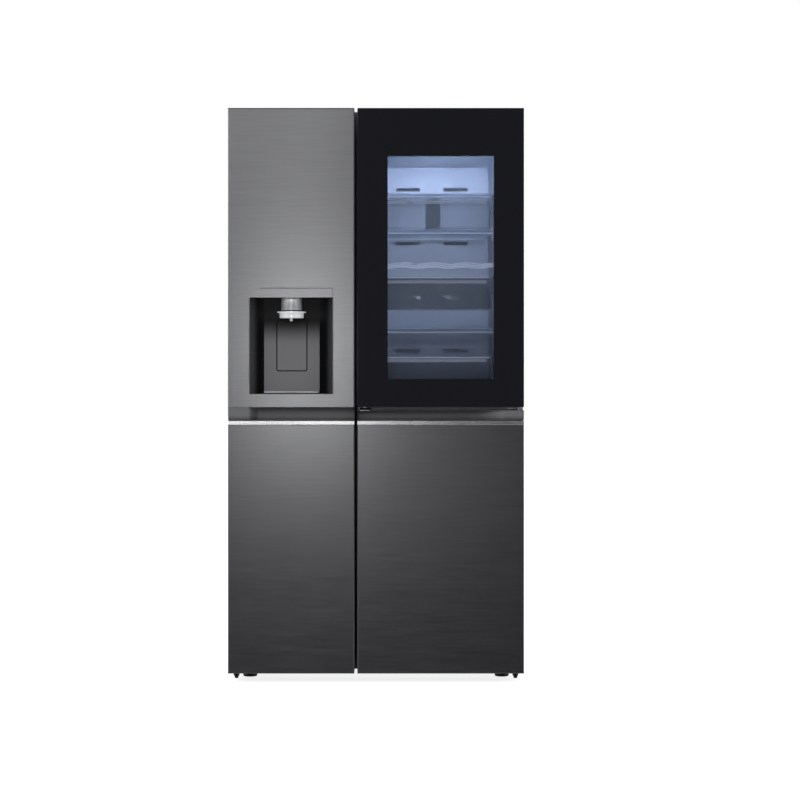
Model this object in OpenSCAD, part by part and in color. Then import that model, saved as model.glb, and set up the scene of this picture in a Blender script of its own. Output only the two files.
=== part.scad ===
// Side-by-side refrigerator with a water and ice dispenser and a glass door-in-door.
// Millimetres, +Z up, doors towards -Y, origin on the floor at the centre of the footprint.

/* [Overall] */
// Width across the doors and the case
width = 913; // [908:1:920]
// Depth from the door fronts to the rear spacers
depth = 735; // [730:1:745]
// Height of the door tops above the floor
door_top = 1770; // [1760:1:1780]
// Height of the door bottoms above the floor
door_bottom = 27; // [25:1:28]

/* [Doors] */
// Width of the freezer door
freezer_door_w = 390; // [386:1:394]
// Gap between the two doors
door_gap = 9; // [8:0.5:10]
// Thickness of a door from its front face to its back
door_t = 99.5; // [98:0.5:101]
// Space between a door's back and the case, closed by the gasket
gasket_gap = 16; // [15:0.5:17]
// Distance of both door pivots from the side of the case
pivot_in = 23; // [21:0.5:24]
// Distance of both door pivots behind the door fronts
pivot_back = 67.5; // [66:0.5:69]
// Bottom of the upper panel and of the glass outer door
upper_z = 848; // [844:1:852]
// Top of the bright strip over the lower panels
strip_top = 807.5; // [805:0.5:809]
// Height of the bright strip
strip_h = 15; // [12:0.5:18]
// Thickness of the glass outer door
outer_door_t = 42.5; // [41:0.5:44]

/* [Window] */
// Left edge of the window, from the centre of the case
window_x = 36; // [30:1:45]
// Width of the window
window_w = 327.6; // [310:1:330]
// Bottom of the window above the floor
window_z = 935; // [925:1:950]
// Height of the window
window_h = 687; // [670:1:690]

/* [Dispenser] */
// Width of the control bar over the recess
bar_w = 265; // [260:1:268]
// Width of the recess at its front
recess_w = 254; // [246:1:256]
// Width of the recess at its back wall
recess_back_w = 172; // [160:1:180]
// Depth of the recess
recess_d = 91.5; // [90:0.5:92]
// Floor of the recess above the ground
recess_z = 889; // [885:1:895]
// Height of the recess
recess_h = 297; // [290:1:300]

/* [Cavities] */
// Left wall of the freezer, from the centre of the case
freezer_x0 = -400; // [-402:1:-398]
// Right wall of the freezer
freezer_x1 = -100; // [-104:1:-98]
// Left wall of the refrigerator
fridge_x0 = -24; // [-26:1:-20]
// Right wall of the refrigerator
fridge_x1 = 400; // [398:1:402]
// Floor of both cavities
cavity_z0 = 110; // [108:1:112]
// Ceiling of both cavities
cavity_z1 = 1690; // [1685:1:1695]

/* [Hidden] */
$fn = 48;
gap = 0.4;
sheet = 1.5;
x_left = -width / 2;
x_right = width / 2;
y_front = -depth / 2;
y_rear = depth / 2;
door_back = y_front + door_t;
case_front = door_back + gasket_gap;
case_back = y_rear - 8;
case_top = door_top - 18;
case_floor = door_bottom;
frame_back = case_front + sheet + gap;
step_y = 80;
step_z = 310;
rear_y = 290;
machine_top = 256;
machine_y = 132;
deck_z = 49;
pivot_x = x_right - pivot_in;
pivot_y = y_front + pivot_back;
fz_door_x1 = x_left + freezer_door_w;
rf_door_x0 = fz_door_x1 + door_gap;
skin = 1.2;
pocket_z0 = strip_top;
lip_z = strip_top - 23.5;
strip_z0 = strip_top - strip_h;
disp_x = (x_left + fz_door_x1) / 2;
housing_w = bar_w - 2;
housing_z0 = recess_z - 3;
housing_z1 = recess_z + recess_h + 32;
housing_back = y_front + recess_d + 3;
pad_w = 91;
pad_z0 = 961;
pad_z1 = 1117;
pad_corner = 5;
pad_y = housing_back - 27;
plate_z1 = 1122;
lever_pivot_z = 1108;
inner_front = y_front + outer_door_t + 6;
outer_pivot_x = x_right - 25.5;
outer_pivot_y = y_front + 19.5;
frame_open_x0 = 0;
frame_open_x1 = 405;
frame_open_z0 = 900;
frame_open_z1 = 1700;
bin_back = -175;
drawer_front = -165;
shelf_front = -128;
fridge_shelves = [1520, 1405, 1090, 800];
freezer_shelves = [1450, 1200, 950, 720];
cover_z = 515;
foot_x = x_right - 61;
foot_y = -215;
fan_x = -250;
fan_z = 1120;
duct_x0 = fridge_x0 + 22;
duct_x1 = fridge_x1 - 23;
filter_x = fridge_x0 + 29;
filter_z = cavity_z1 - 50;
cool_x = -62;
cool_y = 245;
cool_z = 150;
tray_z = 1575;
auger_z = 1300;
ice_y = -222;

steel = "#63666b";
bright = "#d8dadd";
black = "#1b1c20";
dark = "#3c3e42";
white = "#e9edf0";
foam = "#e6dcb8";
clear = [0.8, 0.88, 0.92, 0.45];

// A box between two opposite corners.
module box(low, high) translate(low) cube(high - low);

// A cylinder along X, from x0 to x1.
module rod_x(x0, x1, y, z, r) translate([x0, y, z]) rotate([0, 90, 0]) cylinder(h = x1 - x0, r = r);

// A cylinder along Y, from y0 to y1.
module rod_y(x, y0, y1, z, r) translate([x, y0, z]) rotate([-90, 0, 0]) cylinder(h = y1 - y0, r = r);

// A cylinder along Z, from z0 to z1.
module rod_z(x, y, z0, z1, r) translate([x, y, z0]) cylinder(h = z1 - z0, r = r);

// An outline in (y, z), extruded along X from x0 to x1.
module side_profile(x0, x1, points) {
    translate([x0, 0, 0]) rotate([90, 0, 90]) linear_extrude(x1 - x0) polygon(points);
}

// An open-topped tub with one wall thickness.
module tub(low, high, wall) difference() {
    box(low, high);
    box(low + [wall, wall, wall], high - [wall, wall, -1]);
}

// Four separate bars around an opening, in the plane of X and Z.
module bars(x0, x1, y0, y1, z0, z1, w) {
    box([x0, y0, z0], [x0 + w, y1, z1]);
    box([x1 - w, y0, z0], [x1, y1, z1]);
    box([x0 + w + gap, y0, z0], [x1 - w - gap, y1, z0 + w]);
    box([x0 + w + gap, y0, z1 - w], [x1 - w - gap, y1, z1]);
}

// ---- Case ----

// Folded steel case: two sides, a top, and the flange that the door gaskets close on.
module outer_case() color(steel) {
    edge = sheet + gap;
    t = sheet + 0.2;
    z0 = case_floor;
    z1 = case_top - edge;
    y0 = case_front;
    y1 = case_front + sheet;
    box([x_left, y0, z0], [x_left + sheet, case_back, case_top]);
    box([x_right - sheet, y0, z0], [x_right, case_back, case_top]);
    box([x_left + edge, y0, case_top - sheet], [x_right - edge, case_back, case_top]);
    box([x_left + edge, y0, z0], [freezer_x0 - t, y1, z1]);
    box([freezer_x1 + t, y0, z0], [fridge_x0 - t, y1, z1]);
    box([fridge_x1 + t, y0, z0], [x_right - edge, y1, z1]);
    for (x = [[freezer_x0, freezer_x1], [fridge_x0, fridge_x1]]) {
        box([x[0] - t + gap, y0, z0], [x[1] + t - gap, y1, cavity_z0 - t]);
        box([x[0] - t + gap, y0, cavity_z1 + t], [x[1] + t - gap, y1, z1]);
    }
}

module back_panel() color("#aeb1b4") {
    inset = sheet + gap;
    box([x_left + inset, case_back - sheet, machine_top], [x_right - inset, case_back, case_top - inset]);
    for (x = [-300, 300], z = [420, 1500])
        box([x - 20, case_back + gap, z], [x + 20, y_rear, z + 60]);
}

module base_frame() color("#8e9194") {
    x = x_right - sheet - gap;
    difference() {
        box([-x, frame_back, case_floor], [x, machine_y - 2, case_floor + 2]);
        for (s = [-1, 1]) rod_z(s * foot_x, foot_y, 0, deck_z, 5.5);
    }
    box([-x, frame_back, case_floor + 2 + gap], [x, frame_back + 12, deck_z]);
    box([-x, machine_y - 2, case_floor + 2 + gap], [x, machine_y, deck_z - 2 - gap]);
    box([-x, machine_y - 2, deck_z - 2], [x, case_back - sheet - gap, deck_z]);
    for (s = [-1, 1], side = [-16, 16])
        difference() {
            box([s * foot_x + side - 1.5, 282, 9], [s * foot_x + side + 1.5, 318, deck_z - 2 - gap]);
            rod_x(s * foot_x + side - 3, s * foot_x + side + 3, 300, 21, 4.05);
        }
}

module top_cover() color(dark) difference() {
    box([x_left, case_front, case_top + gap], [x_right, case_front + 130, door_top]);
    box([x_left + 3, case_front + 3, case_top - 1], [x_right - 3, case_front + 127, door_top - 3]);
}

module cabinet_foam() color(foam) {
    edge = sheet + gap;
    t = sheet + 0.2;
    top = case_top - edge;
    x0 = x_left + edge;
    x1 = x_right - edge;
    y0 = frame_back;
    y1 = case_back - edge;
    low = deck_z + gap;
    // side walls and the wall between the cavities
    for (x = [[x0, freezer_x0 - t], [freezer_x1 + t, fridge_x0 - t], [fridge_x1 + t, x1]]) {
        box([x[0], y0, cavity_z0], [x[1], machine_y - 2 - gap, machine_top - gap]);
        box([x[0], y0, machine_top], [x[1], rear_y, cavity_z1 + t]);
    }
    // ceiling, rear wall, floor and the step over the machine space
    box([x0, y0, cavity_z1 + t + gap], [x1, y1, top]);
    box([x0, rear_y + t, step_z], [x1, y1, cavity_z1 + t]);
    box([x0, frame_back + 12 + gap, low], [x1, machine_y - 2 - gap, cavity_z0 - t]);
    for (x = [[freezer_x0 - t + gap, freezer_x1 + t - gap], [fridge_x0 - t + gap, fridge_x1 + t - gap]]) {
        box([x[0], step_y + t, cavity_z0], [x[1], machine_y - 2 - gap, machine_top - gap]);
        box([x[0], step_y + t, machine_top], [x[1], rear_y, step_z - t]);
    }
}

// A cavity's lining: a thin shell open at the front, stepped over the machine space.
module liner(x0, x1) difference() {
    t = sheet;
    side_profile(x0 - t, x1 + t, [
        [case_front, cavity_z0 - t], [step_y + t, cavity_z0 - t], [step_y + t, step_z - t],
        [rear_y + t, step_z - t], [rear_y + t, cavity_z1 + t], [case_front, cavity_z1 + t]
    ]);
    side_profile(x0, x1, [
        [case_front - 1, cavity_z0], [step_y, cavity_z0], [step_y, step_z],
        [rear_y, step_z], [rear_y, cavity_z1], [case_front - 1, cavity_z1]
    ]);
}

module cavity_liners() color(white) {
    liner(freezer_x0, freezer_x1);
    liner(fridge_x0, fridge_x1);
}

// ---- Inside the cavities ----

module duct_covers() color(white) {
    difference() {
        box([freezer_x0 + 3, 232, step_z + 4], [freezer_x1 - 3, 236, cavity_z1 - 4]);
        rod_y(fan_x, 230, 240, fan_z, 54);
        for (z = [600 : 24 : 720], x = [-330, -170]) box([x - 45, 230, z], [x + 45, 240, z + 8]);
        for (z = [1400 : 90 : 1580]) box([fan_x - 60, 230, z], [fan_x + 60, 240, z + 14]);
    }
    difference() {
        box([duct_x0, 262, 560], [duct_x1, rear_y - gap, 1640]);
        box([duct_x0 + 6, 268, 566], [duct_x1 - 6, rear_y + 1, 1634]);
        for (z = [660 : 180 : 1560], x = [duct_x0 + 70, duct_x1 - 150])
            box([x, 260, z], [x + 80, 270, z + 12]);
    }
}

module evaporator() color("#c2c6c8") {
    for (z = [660 : 60 : 960]) rod_x(-388, -112, 262, z, 4.5);
    for (i = [0 : 13]) box([-372 + 18 * i, 244, 640], [-371 + 18 * i, 280, 980]);
}

module fan_motors() color(dark) {
    rod_y(fan_x, 262, 284, fan_z, 21);
    rod_y(fan_x, 240, 262, fan_z, 3);
    rod_x(cool_x + 34, cool_x + 70, cool_y, cool_z, 24);
    rod_x(cool_x - 12, cool_x + 34, cool_y, cool_z, 3);
}

module shelf(x0, x1, y1, z) box([x0 + 6, shelf_front + 10, z - 4], [x1 - 6, y1, z]);

module glass_shelves() color(clear) {
    for (z = fridge_shelves) shelf(fridge_x0, fridge_x1, 250, z);
    for (z = freezer_shelves) shelf(freezer_x0, freezer_x1, 220, z);
    shelf(fridge_x0, fridge_x1, 250, cover_z);
    shelf(freezer_x0, freezer_x1, 220, cover_z);
}

module shelf_trim(x0, x1, z) box([x0 + 6, shelf_front, z - 12], [x1 - 6, shelf_front + 10 - 0.1, z + 5]);

module shelf_trims() color(bright) {
    for (z = concat(fridge_shelves, [cover_z])) shelf_trim(fridge_x0, fridge_x1, z);
    for (z = concat(freezer_shelves, [cover_z])) shelf_trim(freezer_x0, freezer_x1, z);
}

module bottle_rack() color(bright) {
    x0 = fridge_x0 + 12;
    x1 = fridge_x1 - 12;
    for (y = [-110, 30, 170]) rod_x(x0, x1, y, 1299, 2.5);
    for (i = [0 : 11]) rod_y(x0 + 8 + i * (x1 - x0 - 16) / 11, -112, 172, 1303, 2);
}

module lamps() color("#f4f8ff") {
    box([fridge_x0 + 130, -190, cavity_z1 - 10], [fridge_x1 - 130, -130, cavity_z1 - gap]);
    box([freezer_x0 + 90, -190, cavity_z1 - 10], [freezer_x1 - 90, -130, cavity_z1 - gap]);
    box([fridge_x0 + gap, -165, 620], [fridge_x0 + 8, -145, 1600]);
}

// ---- Hinges ----

module top_hinge() {
    box([pivot_x - 12, pivot_y, door_top + gap], [pivot_x + 12, case_front + 90, door_top + 4]);
    rod_z(pivot_x, pivot_y, door_top + gap, door_top + 4, 12);
    rod_z(pivot_x, pivot_y, door_top - 20, door_top + 4, 6);
}

module bottom_hinge() {
    box([pivot_x - 14, pivot_y, 19], [pivot_x + 14, case_front + 50, 23]);
    box([pivot_x - 14, case_front + 4, 22], [pivot_x + 14, case_front + 50, case_floor - 0.1]);
    rod_z(pivot_x, pivot_y, 19, 23, 14);
    rod_z(pivot_x, pivot_y, 22, door_bottom - 0.5, 9);
    rod_z(pivot_x, pivot_y, 22, door_bottom + 20, 6);
    rod_z(pivot_x, pivot_y, 12, 20, 9);
    rod_z(pivot_x, pivot_y, 5, 13, 6);
}

module door_hinges() color(black) for (m = [0, 1]) mirror([m, 0, 0]) {
    top_hinge();
    bottom_hinge();
}

// ---- Machine space ----

module compressor() color(black) {
    translate([210, 240, 0]) {
        rotate_extrude() polygon([
            [0, 68], [52, 68], [66, 74], [74, 88], [76, 120], [74, 168], [64, 190], [44, 203], [0, 208]
        ]);
        difference() {
            box([-95, -62, 64], [95, 62, 67]);
            for (x = [-82, 82], y = [-50, 50]) rod_z(x, y, 60, 70, 5);
        }
        for (x = [-82, 82], y = [-50, 50]) rod_z(x, y, deck_z + 0.1, 63.6, 12);
    }
    box([286.4, 205, 100], [310, 275, 160]);
}

module condenser() color("#4a4d50") {
    for (y = [190 : 36 : 298], z = [80 : 32 : 208]) rod_x(-400, -150, y, z, 3);
    for (i = [0 : 11]) box([-386 + 20 * i, 176, 68], [-385 + 20 * i, 312, 220]);
}

module condenser_shroud() color(dark) {
    difference() {
        box([cool_x - 16, 150, deck_z + 0.1], [cool_x - 12, 350, machine_top - 4]);
        rod_x(cool_x - 20, cool_x, cool_y, cool_z, 84);
    }
    for (a = [0, 90]) translate([cool_x + 40, cool_y, cool_z]) rotate([a, 0, 0]) difference() {
        box([0, -96, -5], [6, 96, 5]);
        rod_x(-1, 7, 0, 0, 24.2);
    }
}

module drain_pan() color(black) tub([-400, 170, deck_z + 0.2], [-140, 345, 64], 2.5);

module machine_cover() color("#9b9ea1") difference() {
    box([-384, case_back - sheet, deck_z + 2], [384, case_back, machine_top - gap]);
    for (i = [0 : 10], z = [80, 160]) translate([-350 + 64 * i, case_back - 9, z]) cube([8, 10, 60]);
}

module water_valve() color(white) {
    difference() {
        union() {
            box([-446, 322, 110], [-398, 352, 160]);
            rod_y(-422, 350, y_rear - 1, 135, 9);
        }
        rod_y(-422, 340, y_rear + 1, 135, 3.2);
    }
    rod_z(-422, 337, 160.3, 190, 15);
}

module power_inlet() color(black) difference() {
    box([396, 336, 90], [440, y_rear - 2, 122]);
    box([404, 344, 97], [432, y_rear, 115]);
}

module water_filter() color(white) {
    rod_y(filter_x, 60, 230, filter_z, 24);
    box([filter_x - 26, 232, filter_z - 30], [filter_x + 26, 252, filter_z + 30]);
}

module fan_rotor(hub_r, tip_r, blades, h) {
    difference() {
        union() {
            cylinder(h = h, r = hub_r);
            for (i = [0 : blades - 1])
                rotate([0, 0, i * 360 / blades]) translate([hub_r - 2, 0, h / 2]) rotate([32, 0, 0])
                    translate([0, -tip_r / 3.4, -1]) cube([tip_r - hub_r, tip_r / 1.7, 2]);
        }
        translate([0, 0, -1]) cylinder(h = h + 2, r = 3.05);
    }
}

module evaporator_fan() color(dark) translate([fan_x, 240, fan_z]) rotate([-90, 0, 0])
    fan_rotor(15, 48, 5, 18);

module condenser_fan() color(dark) translate([cool_x - 10, cool_y, cool_z]) rotate([0, 90, 0])
    fan_rotor(22, 76, 5, 26);

module rear_rollers() color(dark) {
    rod_x(-foot_x - 24, foot_x + 24, 300, 21, 4);
    for (s = [-1, 1]) rod_x(s * foot_x - 12, s * foot_x + 12, 300, 21, 21);
}

module levelling_foot(x) {
    rod_z(x, foot_y, 0, 10, 21.5);
    rod_z(x, foot_y, 9, 18, 14);
    rod_z(x, foot_y, 17, deck_z - 4, 5);
}

module foot_left() color(black) levelling_foot(-foot_x);

module foot_right() color(black) levelling_foot(foot_x);

// ---- Parts that both doors have ----

// A folded sheet: the front of a panel and its two edges.
module panel_skin(x0, x1, z0, z1) difference() {
    box([x0, y_front, z0], [x1, door_back - 22, z1]);
    box([x0 + skin, y_front + skin, z0 - 1], [x1 - skin, door_back, z1 + 1]);
}

// Pin hole for a door pivot on the side s.
module pivot_hole(s, z0, z1) rod_z(s * pivot_x, pivot_y, z0, z1, 6.06);

// Grip recess over the lower panel, open to the front and down behind the strip.
module handle(x0, x1, grip_x0, grip_x1, top) {
    back = y_front + 56;
    inset = skin + 0.3;
    difference() {
        union() {
            side_profile(x0, x1, [
                [y_front + 0.5, pocket_z0 + 0.2], [y_front + 0.5, top], [back, top], [back, pocket_z0 + 0.2]
            ]);
            box([x0 + inset, y_front + 10, lip_z], [x1 - inset, back, pocket_z0 + 1]);
        }
        side_profile(grip_x0, grip_x1, [
            [y_front - 1, pocket_z0 + 2.5], [y_front - 1, top - 2.5], [back - 12, top - 2.5],
            [back - 5, top - 6], [back - 3, top - 12], [back - 3, lip_z + 3],
            [y_front + 13, lip_z + 3], [y_front + 13, pocket_z0 + 2.5]
        ]);
    }
}

module handle_strip(x0, x1) {
    box([x0, y_front, strip_z0], [x1, y_front + 9.6, strip_top]);
}

module caps(s, x0, x1, y0) difference() {
    union() {
        box([x0, y0, door_top - 3], [x1, door_back, door_top]);
        box([x0, y_front, door_bottom], [x1, door_back, door_bottom + 3]);
    }
    pivot_hole(s, door_top - 5, door_top + 1);
    pivot_hole(s, door_bottom - 1, door_bottom + 5);
}

// The moulded back of a door: a thin sheet with a raised rim that enters the cavity.
module door_liner(x0, x1, rim_x0, rim_x1) {
    box([x0, door_back - 4, door_bottom + 3 + gap], [x1, door_back, door_top - 3 - gap]);
    difference() {
        box([rim_x0, door_back - 1, cavity_z0 + 12], [rim_x1, door_back + 50, cavity_z1 - 14]);
        box([rim_x0 + 14, door_back - 2, cavity_z0 + 26], [rim_x1 - 14, door_back + 51, cavity_z1 - 28]);
    }
}

module bin(x0, x1, y0, z, h) tub([x0, y0, z], [x1, bin_back, z + h], 2.5);

// ---- Freezer door ----

module freezer_door_skin() color(steel) {
    hw = housing_w / 2;
    difference() {
        panel_skin(x_left, fz_door_x1, upper_z, door_top - 3 - gap);
        box([disp_x - hw, y_front - 1, housing_z0], [disp_x + hw, y_front + 3, housing_z1]);
    }
    panel_skin(x_left, fz_door_x1, door_bottom + 3 + gap, strip_z0 - gap);
}

module freezer_door_foam() color(foam) {
    x0 = x_left + skin + 0.2;
    x1 = fz_door_x1 - skin - 0.2;
    y0 = y_front + skin + 0.2;
    y1 = door_back - 4 - gap;
    hx0 = disp_x - housing_w / 2 - gap;
    hx1 = disp_x + housing_w / 2 + gap;
    difference() {
        box([x0, y0, housing_z1 + gap], [x1, y1, door_top - 3 - gap]);
        pivot_hole(-1, door_top - 24, door_top);
    }
    box([x0, y0, housing_z0], [hx0, y1, housing_z1]);
    box([hx1, y0, housing_z0], [x1, y1, housing_z1]);
    box([x0, y0, upper_z + gap], [x1, y1, housing_z0 - gap]);
    box([x0, y_front + 56 + gap, lip_z], [x1, y1, upper_z]);
    difference() {
        box([x0, y0, door_bottom + 3 + gap], [x1, y1, lip_z - gap]);
        pivot_hole(-1, door_bottom, door_bottom + 24);
    }
}

module freezer_door_liner() color(white) door_liner(x_left + 3, fz_door_x1 - 3, -385, -120);

module freezer_door_gasket() color(dark)
    bars(-pivot_x + 2, fz_door_x1 - 10, door_back + gap, case_front - gap, 45, cavity_z1 + 26, 20);

module freezer_handle() color(dark)
    handle(x_left + 0.5, fz_door_x1, x_left + 74.5, fz_door_x1 + 1, upper_z - 0.2);

module freezer_handle_strip() color(bright) handle_strip(x_left, fz_door_x1);

module freezer_door_caps() color(dark) caps(-1, x_left, fz_door_x1, y_front);

module freezer_door_bins() color(clear)
    for (z = [150, 400, 650, 900]) bin(-357, -140, door_back + 2, z, 110);

// Plan outline of the recess: straight front part, then concave sides to the back wall.
module recess_outline() {
    hw = recess_w / 2;
    bw = recess_back_w / 2;
    n = 8;
    polygon(concat(
        [[-hw, -1], [hw, -1]],
        [for (i = [0 : n]) let (a = 90 * i / n)
            [bw + (hw - bw) * cos(a), (recess_d - 12) * pow(sin(a), 0.9) + 6]],
        [[bw, recess_d], [-bw, recess_d]],
        [for (i = [n : -1 : 0]) let (a = 90 * i / n)
            [-bw - (hw - bw) * cos(a), (recess_d - 12) * pow(sin(a), 0.9) + 6]]
    ));
}

// Outline of the lever pad in (x, z), grown by g, with rounded corners.
module pad_outline(g) {
    r = pad_corner + g;
    w = pad_w / 2 - pad_corner;
    z0 = pad_z0 + pad_corner;
    z1 = pad_z1 - pad_corner;
    corners = [[w, z1, 0], [-w, z1, 90], [-w, z0, 180], [w, z0, 270]];
    polygon([for (c = corners) for (a = [0 : 15 : 90]) [c[0] + r * cos(c[2] + a), c[1] + r * sin(c[2] + a)]]);
}

// Black housing with the open recess, and the grey plate that frames the lever pad.
module dispenser_housing() color(black) {
    hw = housing_w / 2;
    plate_w = recess_back_w;
    recess_z1 = recess_z + recess_h;
    difference() {
        box([disp_x - hw, y_front + 0.3, housing_z0], [disp_x + hw, housing_back, housing_z1]);
        translate([disp_x, y_front, recess_z]) linear_extrude(recess_h) recess_outline();
        box([disp_x - hw - 1, y_front - 1, recess_z1], [disp_x + hw + 1, y_front + 6, housing_z1 + 1]);
    }
    translate([disp_x, pad_y, 0]) rotate([90, 0, 0]) linear_extrude(4) difference() {
        translate([-plate_w / 2, recess_z + gap]) square([plate_w, plate_z1 - recess_z]);
        pad_outline(3);
    }
}

module dispenser_panel() color(steel) {
    w = bar_w / 2 - 1;
    box([disp_x - w, y_front, recess_z + recess_h + 0.2], [disp_x + w, y_front + 5.8, housing_z1]);
}

module dispenser_nozzle() color(bright) translate([disp_x, y_front + 46.5, 0]) {
    rotate_extrude() polygon([
        [26, 1123], [37, 1123], [38, 1132], [44, 1138], [44, 1143], [32.5, 1146],
        [32.5, recess_z + recess_h - 0.1], [26, recess_z + recess_h - 0.1]
    ]);
    difference() {
        rod_z(0, -31, 1113, 1130, 4.5);
        rod_z(0, -31, 1112, 1131, 2.5);
    }
}

module ice_maker_case() color(white) difference() {
    box([-370, door_back + 2, 1510], [-140, bin_back - 2, 1640]);
    box([-366, door_back + 6, 1506], [-144, bin_back - 6, 1636]);
    rod_x(-371, -139, ice_y, tray_z, 5.05);
}

module ice_tray() color("#c9d4dc") {
    difference() {
        box([-350, ice_y - 30, tray_z - 24], [-160, ice_y + 30, tray_z + 8]);
        for (i = [0 : 5], s = [-1, 1])
            translate([-346 + 31.2 * i, ice_y + s * 14 - 12, tray_z - 20]) cube([27.5, 24, 29]);
    }
    rod_x(-370, -349, ice_y, tray_z, 5);
    rod_x(-161, -140, ice_y, tray_z, 5);
}

module ice_bin() color(clear) difference() {
    box([-370, door_back + 2, 1250], [-140, bin_back, 1490]);
    box([-366, door_back + 6, 1256], [-144, bin_back - 4, 1491]);
    rod_x(-371, -139, ice_y, auger_z, 6.05);
    box([disp_x - 30, door_back + 12, 1249], [disp_x + 30, bin_back - 20, 1260]);
}

module ice_auger() color("#c9d4dc") {
    rod_x(-369, -141, ice_y, auger_z, 6);
    for (i = [0 : 5]) translate([-350 + 32 * i, ice_y, auger_z]) rotate([i * 60, 0, 0])
        box([0, -30, -6], [8, 30, 6]);
}

module dispenser_lever() color(dark) {
    translate([disp_x, pad_y, 0]) rotate([90, 0, 0]) linear_extrude(5) pad_outline(0);
    rod_x(disp_x - 30, disp_x + 30, pad_y + 3, lever_pivot_z, 4);
}

module drip_tray() color(black) difference() {
    box([disp_x - 84, y_front + 6, recess_z + 0.2], [disp_x + 84, y_front + 62, recess_z + 9]);
    for (i = [0 : 8]) translate([disp_x - 74 + 17 * i, y_front + 12, recess_z + 3]) cube([12, 44, 7]);
}

// ---- Refrigerator door ----

module fridge_door_skin() color(steel)
    panel_skin(rf_door_x0, x_right, door_bottom + 3 + gap, strip_z0 - gap);

module fridge_door_foam() color("#d9dcdf") {
    x0 = rf_door_x0 + skin + 0.2;
    x1 = x_right - skin - 0.2;
    y1 = door_back - 4 - gap;
    top = door_top - 3 - gap;
    rail = upper_z - 9;
    box([x0, inner_front, rail], [frame_open_x0, y1, top]);
    difference() {
        box([frame_open_x1, inner_front, rail], [x1, y1, top]);
        pivot_hole(1, door_top - 24, door_top);
    }
    box([frame_open_x0 + gap, inner_front, rail], [frame_open_x1 - gap, y1, frame_open_z0]);
    box([frame_open_x0 + gap, inner_front, frame_open_z1], [frame_open_x1 - gap, y1, top]);
    box([x0, y_front + 56 + gap, lip_z], [x1, y1, rail - gap]);
    difference() {
        box([x0, y_front + skin + 0.2, door_bottom + 3 + gap], [x1, y1, lip_z - gap]);
        pivot_hole(1, door_bottom, door_bottom + 24);
    }
}

module fridge_door_liner() color(white) difference() {
    door_liner(rf_door_x0 + 3, x_right - 3, -1.5, 385);
    box([frame_open_x0 + 13, door_back - 6, frame_open_z0],
        [frame_open_x1 - 34, door_back + 2, frame_open_z1 - 38]);
}

module fridge_door_gasket() color(dark)
    bars(rf_door_x0 + 10, pivot_x - 2, door_back + gap, case_front - gap, 45, cavity_z1 + 26, 20);

module fridge_handle() color(dark)
    handle(rf_door_x0, x_right - 0.5, rf_door_x0 - 1, x_right - 59.5, upper_z - 10);

module fridge_handle_strip() color(bright) handle_strip(rf_door_x0, x_right);

// Caps of the inner door, and the two small brackets that carry the glass outer door.
module fridge_door_caps() color(dark) {
    caps(1, rf_door_x0, x_right, inner_front);
    for (z = [[door_top - 4, door_top], [upper_z - 8, upper_z - 4]]) difference() {
        union() {
            rod_z(outer_pivot_x, outer_pivot_y, z[0], z[1], 9);
            box([outer_pivot_x - 9, outer_pivot_y, z[0]], [outer_pivot_x + 9, inner_front + 8, z[1]]);
        }
        // room for the cap above the foam, or for the rail below it
        is_upper = z[1] == door_top;
        low = is_upper ? [inner_front - 1, door_top - 9] : [inner_front - gap, z[0] - 1];
        high = is_upper ? door_top - 3 : z[1] + 1;
        box([outer_pivot_x - 10, low[0], low[1]], [outer_pivot_x + 10, inner_front + 9, high]);
    }
    rod_z(outer_pivot_x, outer_pivot_y, door_top - 20, door_top - 2, 4);
    rod_z(outer_pivot_x, outer_pivot_y, upper_z - 6, upper_z + 14, 4);
}

module fridge_door_bins() color(clear) {
    for (z = [900, 1149, 1400]) bin(16, 366, inner_front + 4, z, 103);
    for (z = [150, 420, 660]) bin(16, 357, door_back + 2, z, 110);
}

// ---- Glass outer door ----

module outer_door_glass() color([0.1, 0.1, 0.12, 0.8])
    box([rf_door_x0, y_front, upper_z], [x_right, y_front + 4, door_top]);

module outer_door_frame() color(black) difference() {
    union() {
        box([rf_door_x0 + 2.5, y_front + 4.1, upper_z + 2], [x_right - 2.5, y_front + 24.5, door_top - 6]);
        box([rf_door_x0 + 17.5, y_front + 20, upper_z + 22],
            [x_right - 51.5, y_front + outer_door_t, door_top - 20]);
    }
    box([window_x, y_front, window_z],
        [window_x + window_w, y_front + outer_door_t + 1, window_z + window_h]);
    rod_z(outer_pivot_x, outer_pivot_y, door_top - 24, door_top, 4.06);
    rod_z(outer_pivot_x, outer_pivot_y, upper_z, upper_z + 18, 4.06);
    rod_z(rf_door_x0 + 23, y_front + 14, upper_z, upper_z + 36, 4.2);
}

module outer_door_inner_glass() color(clear)
    box([window_x + 0.2, y_front + outer_door_t - 8, window_z + 0.2],
        [window_x + window_w - 0.2, y_front + outer_door_t - 4, window_z + window_h - 0.2]);

module release_lever() color(bright) {
    box([rf_door_x0 + 7.5, y_front + 5.5, upper_z - 9], [rf_door_x0 + 39.5, y_front + 27, upper_z - 1.5]);
    rod_z(rf_door_x0 + 23, y_front + 14, upper_z - 3, upper_z + 30, 4);
}

// ---- Drawers ----

module drawer(x0, x1, y1, z0, z1) {
    difference() {
        union() {
            tub([x0, drawer_front + 3, z0], [x1, y1, z1], 2.5);
            box([x0 - 2, drawer_front, z0 - 2], [x1 + 2, drawer_front + 6, z1]);
        }
        box([(x0 + x1) / 2 - 60, drawer_front - 1, z1 - 26], [(x0 + x1) / 2 + 60, drawer_front + 8, z1 + 1]);
    }
}

module freezer_drawer_upper() color(clear) drawer(freezer_x0 + 20, freezer_x1 - 12, 215, 330, 495);

module freezer_drawer_lower() color(clear) drawer(freezer_x0 + 20, freezer_x1 - 12, 72, 116, 300);

module crisper_upper() color(clear) drawer(fridge_x0 + 12, fridge_x1 - 20, 240, 330, 495);

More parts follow.
